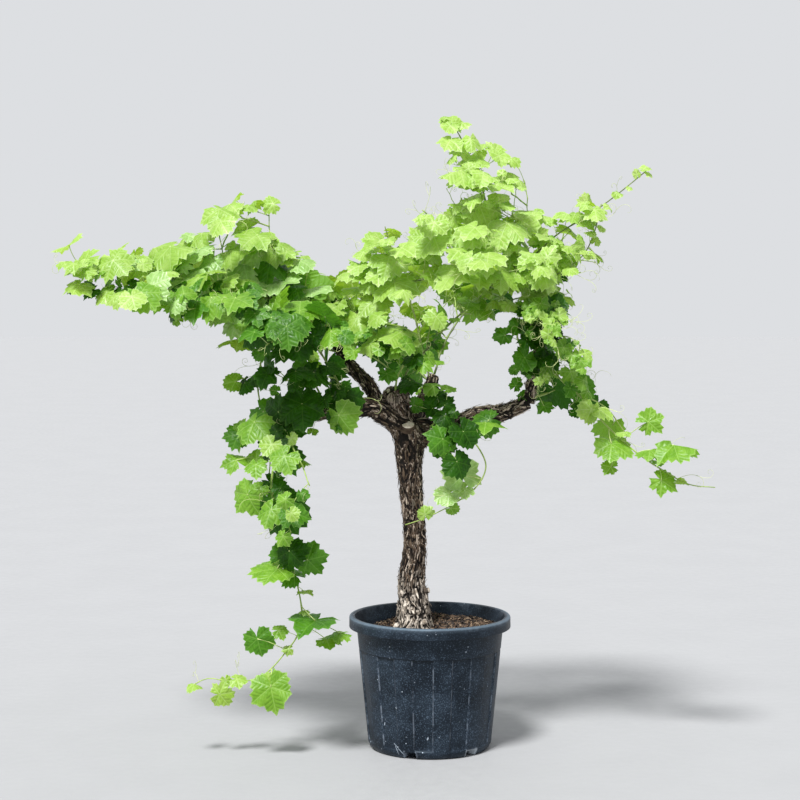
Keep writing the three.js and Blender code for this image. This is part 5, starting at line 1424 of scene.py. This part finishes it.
# Pot colours, among them a painted highlight and a near-black painted shade, and pale marks on the near side
# of its wall: x and height of both ends and width, mm
PLASTIC = {"dark": (0.004, 0.0065, 0.011), "body": (0.01, 0.0155, 0.024), "film": (0.12, 0.17, 0.24),
           "grain": (0.14, 0.2, 0.275), "specks": (0.45, 0.52, 0.6), "worn": (0.28, 0.33, 0.4),
           "edge": (0.2, 0.27, 0.34), "groove": (0.002, 0.003, 0.005), "scuff": (0.42, 0.46, 0.5),
           "scrape": (0.4, 0.46, 0.53), "shine": (0.72, 0.87, 1.0)}
SCRAPES = [((-111, 44), (-81, 14), 2), ((-107, 36), (-96, 12), 1.4), ((105, 333), (107, 333), 5),
           ((-105, 158), (-104, 157), 5), ((-10, 64), (-8, 70), 5), ((-140, 96), (-139, 104), 3),
           ((14, 396), (15, 396), 3)]


def add_scrapes(look, place, under):
    """Draws each mark over the colour under it, by the way off the line between its ends."""
    near = look.ranged(look.parts(place)["Y"], -0.1, -0.09, 1.0, 0.0)
    flat = look.vector("MULTIPLY", place, (1, 0, 1))
    for *ends, width in SCRAPES:
        start, end = (np.array([x, 0, z]) * MM for x, z in ends)
        middle = look.vector("SUBTRACT", flat, tuple((start + end) / 2))
        off = look.vector("LENGTH", look.vector("CROSS_PRODUCT", middle, tuple(unit(end - start))))
        half = np.linalg.norm(end - start) / 2
        line = look.ranged(off, width * MM * 0.2, width * MM * 0.6, near, 0.0)
        ended = look.ranged(look.vector("LENGTH", middle), half, half + width * MM * 0.5, 0.75, 0.0)
        under = look.blend(look.math("MULTIPLY", line, ended), under, PLASTIC["scrape"])
    return under


def pot_material():
    """Blue-black moulded plastic: faint flow marks, pale dust in specks of two sizes, less of it inside and
    at the foot, edges rubbed pale here and there, a painted highlight along the rim's top, deep lines
    darkened as painted shade and a painted shadow under the rim, scuffs and scrapes."""
    look, finish = new_material("pot_plastic")
    place = look.place()
    body = look.mottled(place, 9.0, PLASTIC["dark"], PLASTIC["body"])
    dust = look.group("dust", Place=place, Grain=300.0, Specks=80.0, Share=0.12)
    filmed = look.blend(look.up_to(0.035, dust["Patches"]), body, PLASTIC["film"])
    height = look.parts(place)["Z"]
    amount = look.ranged(height, 0.368, 0.378, look.ranged(height, 0.0, 0.07, 0.2, 0.36), 0.24)
    dusty = look.blend(look.math("MULTIPLY", dust["Grain"], amount), filmed, PLASTIC["grain"])
    specked = look.blend(dust["Specks"], dusty, PLASTIC["specks"])
    here = look.ranged(look.noise(place, 26.0, 6.0, 0.7), 0.38, 0.62, 0.12, 1.0)
    wear = look.math("MULTIPLY", look.mark("wear"), here)
    worn = look.blend(look.ranged(wear, 0.05, 0.9, 0.0, 0.6), specked, PLASTIC["worn"])
    # A painted highlight along the rim's top.
    edged = look.blend(look.up_to(0.4, look.mark("edge")), worn, PLASTIC["edge"])
    # Painted shade in the deep line over the panels, and a painted shadow under the rim.
    shade_lined = look.blend(look.mark("groove"), edged, PLASTIC["groove"])
    scuffed = look.blend(look.mark("scuff"), shade_lined, PLASTIC["scuff"])
    rough = look.ranged(dust["Patches"], 0.0, 1.0, 0.42, 0.55)
    normal = look.bumped(look.noise(place, 520.0, 3.0), 0.25, 0.0006)
    return finish(look.skin(add_scrapes(look, place, scuffed), rough, normal, 0.25, PLASTIC["shine"]))


# Leaf tones from old and shaded to young: lit and shaded copies of one leaf that paint light and shade as
# well as age, and one given out by chance that paints a pale sheen. Each has the least light, how bright and
# how blurred the shine is, and the colours of deep and light green, veins, underside and glow
LEAF_TONES = {
    "leaves_deep": dict(
        least=-9.0, sheen=0.22, gloss=0.36, deep=(0.01, 0.05, 0.001), light=(0.028, 0.115, 0.003),
        vein=(0.085, 0.2, 0.02), under=(0.035, 0.12, 0.012), glow=(0.055, 0.25, 0.002)),
    "leaves_green": dict(
        least=0.28, sheen=0.4, gloss=0.36, deep=(0.038, 0.145, 0.004), light=(0.09, 0.262, 0.012),
        vein=(0.23, 0.44, 0.08), under=(0.085, 0.23, 0.025), glow=(0.15, 0.46, 0.006)),
    "leaves_bright": dict(
        least=0.46, sheen=0.5, gloss=0.36, deep=(0.12, 0.295, 0.012), light=(0.22, 0.42, 0.04),
        vein=(0.43, 0.62, 0.18), under=(0.16, 0.36, 0.03), glow=(0.33, 0.66, 0.012)),
    "leaves_sunlit": dict(
        least=0.7, sheen=0.55, gloss=0.36, deep=(0.25, 0.44, 0.045), light=(0.375, 0.555, 0.12),
        vein=(0.55, 0.69, 0.31), under=(0.25, 0.46, 0.04), glow=(0.52, 0.8, 0.02)),
    "leaves_young": dict(
        least=1.04, sheen=0.5, gloss=0.36, deep=(0.31, 0.51, 0.075), light=(0.475, 0.64, 0.19),
        vein=(0.68, 0.77, 0.42), under=(0.35, 0.58, 0.05), glow=(0.6, 0.9, 0.03)),
    # Painted sheen: a pale grey-green that stands in for the sky's reflection on waxy leaves.
    "leaves_silver": dict(
        least=math.inf, sheen=0.5, gloss=0.3, deep=(0.25, 0.45, 0.1), light=(0.46, 0.65, 0.26),
        vein=(0.64, 0.79, 0.44), under=(0.3, 0.52, 0.12), glow=(0.5, 0.8, 0.05)),
}
# Chance of a leaf with the painted sheen in some masses, the light from which a leaf has it anyhow, and that
# up to which it may have it by chance
PAINTED_SHEEN_MASSES = {"left_upper": 0.34, "left_lower": 0.3, "left_arm_leaves": 0.1}
PAINTED_SHEEN_LIGHT = 1.5
PAINTED_SHEEN_BELOW = 0.85
# A leaf's light: what comes on top of its mass's own by its height from LEVEL over RISE, which paints light
# on the crown's top, by chance and everywhere, what it loses under other leaves, which paints their shade,
# less so in pale masses, and the most
LEVEL, RISE, HEIGHTS = 1250, 700, (-0.3, 0.6)
HEIGHT_LIGHT, CHANCE_LIGHT, PLAIN_LIGHT, COVERED_LOSS, PALE_MASS = 0.35, 0.3, 0.12, 0.34, 1.25
MOST_COVERED, MOST_LIGHT = 2.0, 1.4
TONE_SEED = 2000
CANE_COLOURS = {
    "cane_ripe": ((0.10, 0.13, 0.035), (0.2, 0.28, 0.06), 60.0),
    "cane_green": ((0.24, 0.36, 0.07), (0.38, 0.5, 0.12), 60.0),
    "stalk_green": ((0.4, 0.52, 0.14), (0.56, 0.66, 0.26), 50.0),
    "tendril_green": ((0.5, 0.6, 0.2), (0.66, 0.7, 0.34), 50.0),
}
# Camera in metres, degrees and a focal length in mm, sun in degrees, and sky
CAMERA = {"place": EYE * MM, "pitch": 3.708, "lens": 85.97}
SUN = {"tilt": 32, "turn": -26, "angle": 13, "power": 5.0}
SKY = {"tone": (0.95, 0.97, 1.0), "power": 0.76}
FLOOR = {"half": 40, "first": (0.335, 0.338, 0.344), "second": (0.345, 0.348, 0.354)}


def covered(leaves):
    """How deep each leaf lies under others: for each leaf between it and the light, the share of it that
    this one hides, less with the way between them."""
    middle, reach = gathered(leaves, "middle", "reach")
    tilt, turn = math.radians(SUN["tilt"]), math.radians(SUN["turn"])
    sunwards = np.array([math.sin(tilt) * math.sin(turn), -math.sin(tilt) * math.cos(turn), math.cos(tilt)])
    ways = middle[None] - middle[:, None]
    above = ways @ sunwards
    aside = np.linalg.norm(ways - above[..., None] * sunwards, axis=-1)
    hidden = np.clip(1.3 - aside / (0.8 * reach[None]), 0, 1) * (above > 12) * np.exp(-above / 220)
    return hidden.sum(1)


def leaf_tone(mass_name, leaf, depth, draw):
    """How pale a leaf is, which picks its tone: its mass's light, more towards the cane's tip and, as painted
    light, the crown's top, less under other leaves and pale shoots, as painted shade, and chance. Some leaves
    get the tone that paints a pale sheen."""
    mass = MASSES[mass_name]
    height = np.clip((leaf["foot"][2] - LEVEL) / RISE, *HEIGHTS)
    lost = COVERED_LOSS * (PALE_MASS - mass["light"]) * min(depth, MOST_COVERED)
    light = (mass["light"] + mass["paler"] * leaf["share"] ** 2 + HEIGHT_LIGHT * height
             + CHANCE_LIGHT * (draw() - 0.5) + PLAIN_LIGHT - lost - in_shade(mass, leaf["foot"]))
    light = leaf.get("light", min(light, MOST_LIGHT))
    by_chance = "light" not in leaf and light < PAINTED_SHEEN_BELOW
    if light > PAINTED_SHEEN_LIGHT or by_chance and draw() < PAINTED_SHEEN_MASSES.get(mass_name, 0):
        return "leaves_silver"
    return [name for name, tone in LEAF_TONES.items() if light >= tone["least"]][-1]


def grow_plant(wood):
    """All canes, tendrils and the leaves that aren't crowded out, which touch no limb, by tone."""
    all_canes, all_tendrils, found = [], [], []
    kept = np.empty((0, 4))
    for name, mass in MASSES.items():
        canes = [cane for cane in grow_mass(name, mass)
                 if cane["order"] == 0 or not in_wood(cane["route"].line(12)[4:], wood, TWIG_CLEAR)]
        for cane in canes:
            all_leaves, cane["leaves"] = cane["leaves"], []
            for leaf in all_leaves:
                places = blade_points(leaf)
                ways = np.linalg.norm(kept[:, :3] - leaf["middle"], axis=1)
                crowded = (ways < mass["crowding"] * (kept[:, 3] + leaf["reach"])).any()
                if "light" not in leaf and (crowded or in_open_air(places)
                                            or in_wood(places[:4], wood, LEAF_CLEAR)):
                    continue
                if past_reach(places):
                    continue
                kept = np.vstack([kept, [*leaf["middle"], leaf["reach"]]])
                leaf["crisp"] = CRISP.get(name, 0.0)
                found.append((name, leaf))
                cane["leaves"].append(leaf)
        canes = trim(canes)
        all_canes += canes
        all_tendrils += grow_tendrils(mass, canes)
    tones = {}
    draw = make_random(TONE_SEED)
    for (name, leaf), depth in zip(found, covered([leaf for _, leaf in found])):
        tones.setdefault(leaf_tone(name, leaf, depth, draw), []).append((name, leaf))
    return all_canes, all_tendrils, tones


def dress_plant(wood):
    """Leaves in one piece for each tone, then their stalks, the canes and the tendrils."""
    canes, curls, tones = grow_plant(wood)
    ripe, green, stalks, tendrils = Pile(), Pile(), Pile(), Pile()
    for seed, (name, found) in enumerate(sorted(tones.items())):
        leaves = [leaf for _, leaf in found]
        pile = Pile()
        add_blades(pile, leaves, seed + 20)
        add_stalks(stalks, leaves, seed + 40)
        material = leaf_material(name.replace("leaves", "leaf"), LEAF_TONES[name])
        put_piece(name, pile, material, sorted({mass for mass, _ in found}))
    for cane in canes:
        add_cane(ripe if cane["order"] == 0 and cane["radius"][0] > RIPE_RADIUS else green, cane)
    for curl in curls:
        add_tendril(tendrils, curl)
    pieces = {"main_canes": (ripe, MASSES), "twigs": (green, ()), "leaf_stalks": (stalks, ()),
              "tendrils": (tendrils, ())}
    for (name, (pile, nodes)), (look, colours) in zip(pieces.items(), CANE_COLOURS.items()):
        put_piece(name, pile, plain_material(look, *colours, 0.5), nodes)


def dress_wood(wood):
    """Bark on the trunk and arms, loose strips on all of them, and pruning stubs with their cut ends."""
    trunk, arms, strips, ends = Pile(), Pile(), Pile(), Pile()
    add_bark(trunk, wood["trunk"], 176, 2.0, 1.0)
    for name in LIMBS | KNOBS:
        add_bark(arms, wood[name], 80, 2.4, 0.8)
    for seed, (name, limb) in enumerate(wood.items(), 60):
        share, *paleness = STRIPS.get(name, PLAIN_STRIPS)
        add_strips(strips, limb, int(limb.length * limb.girth * share), paleness, seed)
    for seed, stub in enumerate(STUBS.values(), 80):
        add_stub(arms, ends, *stub, seed)
    bark = bark_material()
    put_piece("trunk_bark", trunk, bark, ["trunk"])
    put_piece("arm_bark", arms, bark, LIMBS)
    put_piece("loose_bark", strips, bark)
    put_piece("cut_ends", ends, cut_material())


def dress_pot():
    """The pot, its soil and the chips of bark on it."""
    pot, soil = Pile(), Pile()
    add_pot(pot)
    put_piece("nursery_pot", pot, pot_material(), ["pot"])
    add_soil(soil)
    dark_soil = plain_material("soil_dark", (0.008, 0.005, 0.004), (0.03, 0.018, 0.012), 80.0, 0.9, 0.9)
    put_piece("soil_top", soil, dark_soil, ["soil"])
    for seed, (name, (count, *colours)) in enumerate(CHIPS.items(), 90):
        chips = Pile()
        add_chips(chips, count, seed)
        put_piece(name, chips, plain_material(name, *colours, 120.0, 0.85, 0.8), smooth=False)


# Camera, light and floor
def look_from_photograph():
    data = bpy.data.cameras.new("view")
    data.lens = CAMERA["lens"]
    data.sensor_width = 36
    camera = put_object("view", data)
    camera.location = CAMERA["place"]
    camera.rotation_euler = (math.radians(90 - CAMERA["pitch"]), 0, 0)
    bpy.context.scene.camera = camera


def light_softly():
    """A wide sun from above, a little left of the camera, in even pale air."""
    data = bpy.data.lights.new("sun", "SUN")
    data.angle = math.radians(SUN["angle"])
    data.energy = SUN["power"]
    put_object("sun", data).rotation_euler = (math.radians(SUN["tilt"]), 0, math.radians(SUN["turn"]))
    world = bpy.data.worlds.new("pale_air")
    world.use_nodes = True
    background = world.node_tree.nodes["Background"].inputs
    background["Color"].default_value = (*SKY["tone"], 1.0)
    background["Strength"].default_value = SKY["power"]
    bpy.context.scene.world = world


def lay_floor():
    mesh = bpy.data.meshes.new("floor")
    half = FLOOR["half"]
    corners = [(-half, -half, 0), (half, -half, 0), (half, half, 0), (-half, half, 0)]
    mesh.from_pydata(corners, [], [(0, 1, 2, 3)])
    mesh.materials.append(plain_material("pale_floor", FLOOR["first"], FLOOR["second"], 3.0, 0.7, 0.1))
    put_object("floor", mesh)


old_wood = make_wood()
dress_pot()
dress_wood(old_wood)
dress_plant(old_wood)
look_from_photograph()
light_softly()
lay_floor()
bpy.context.scene.view_settings.view_transform = "Standard"
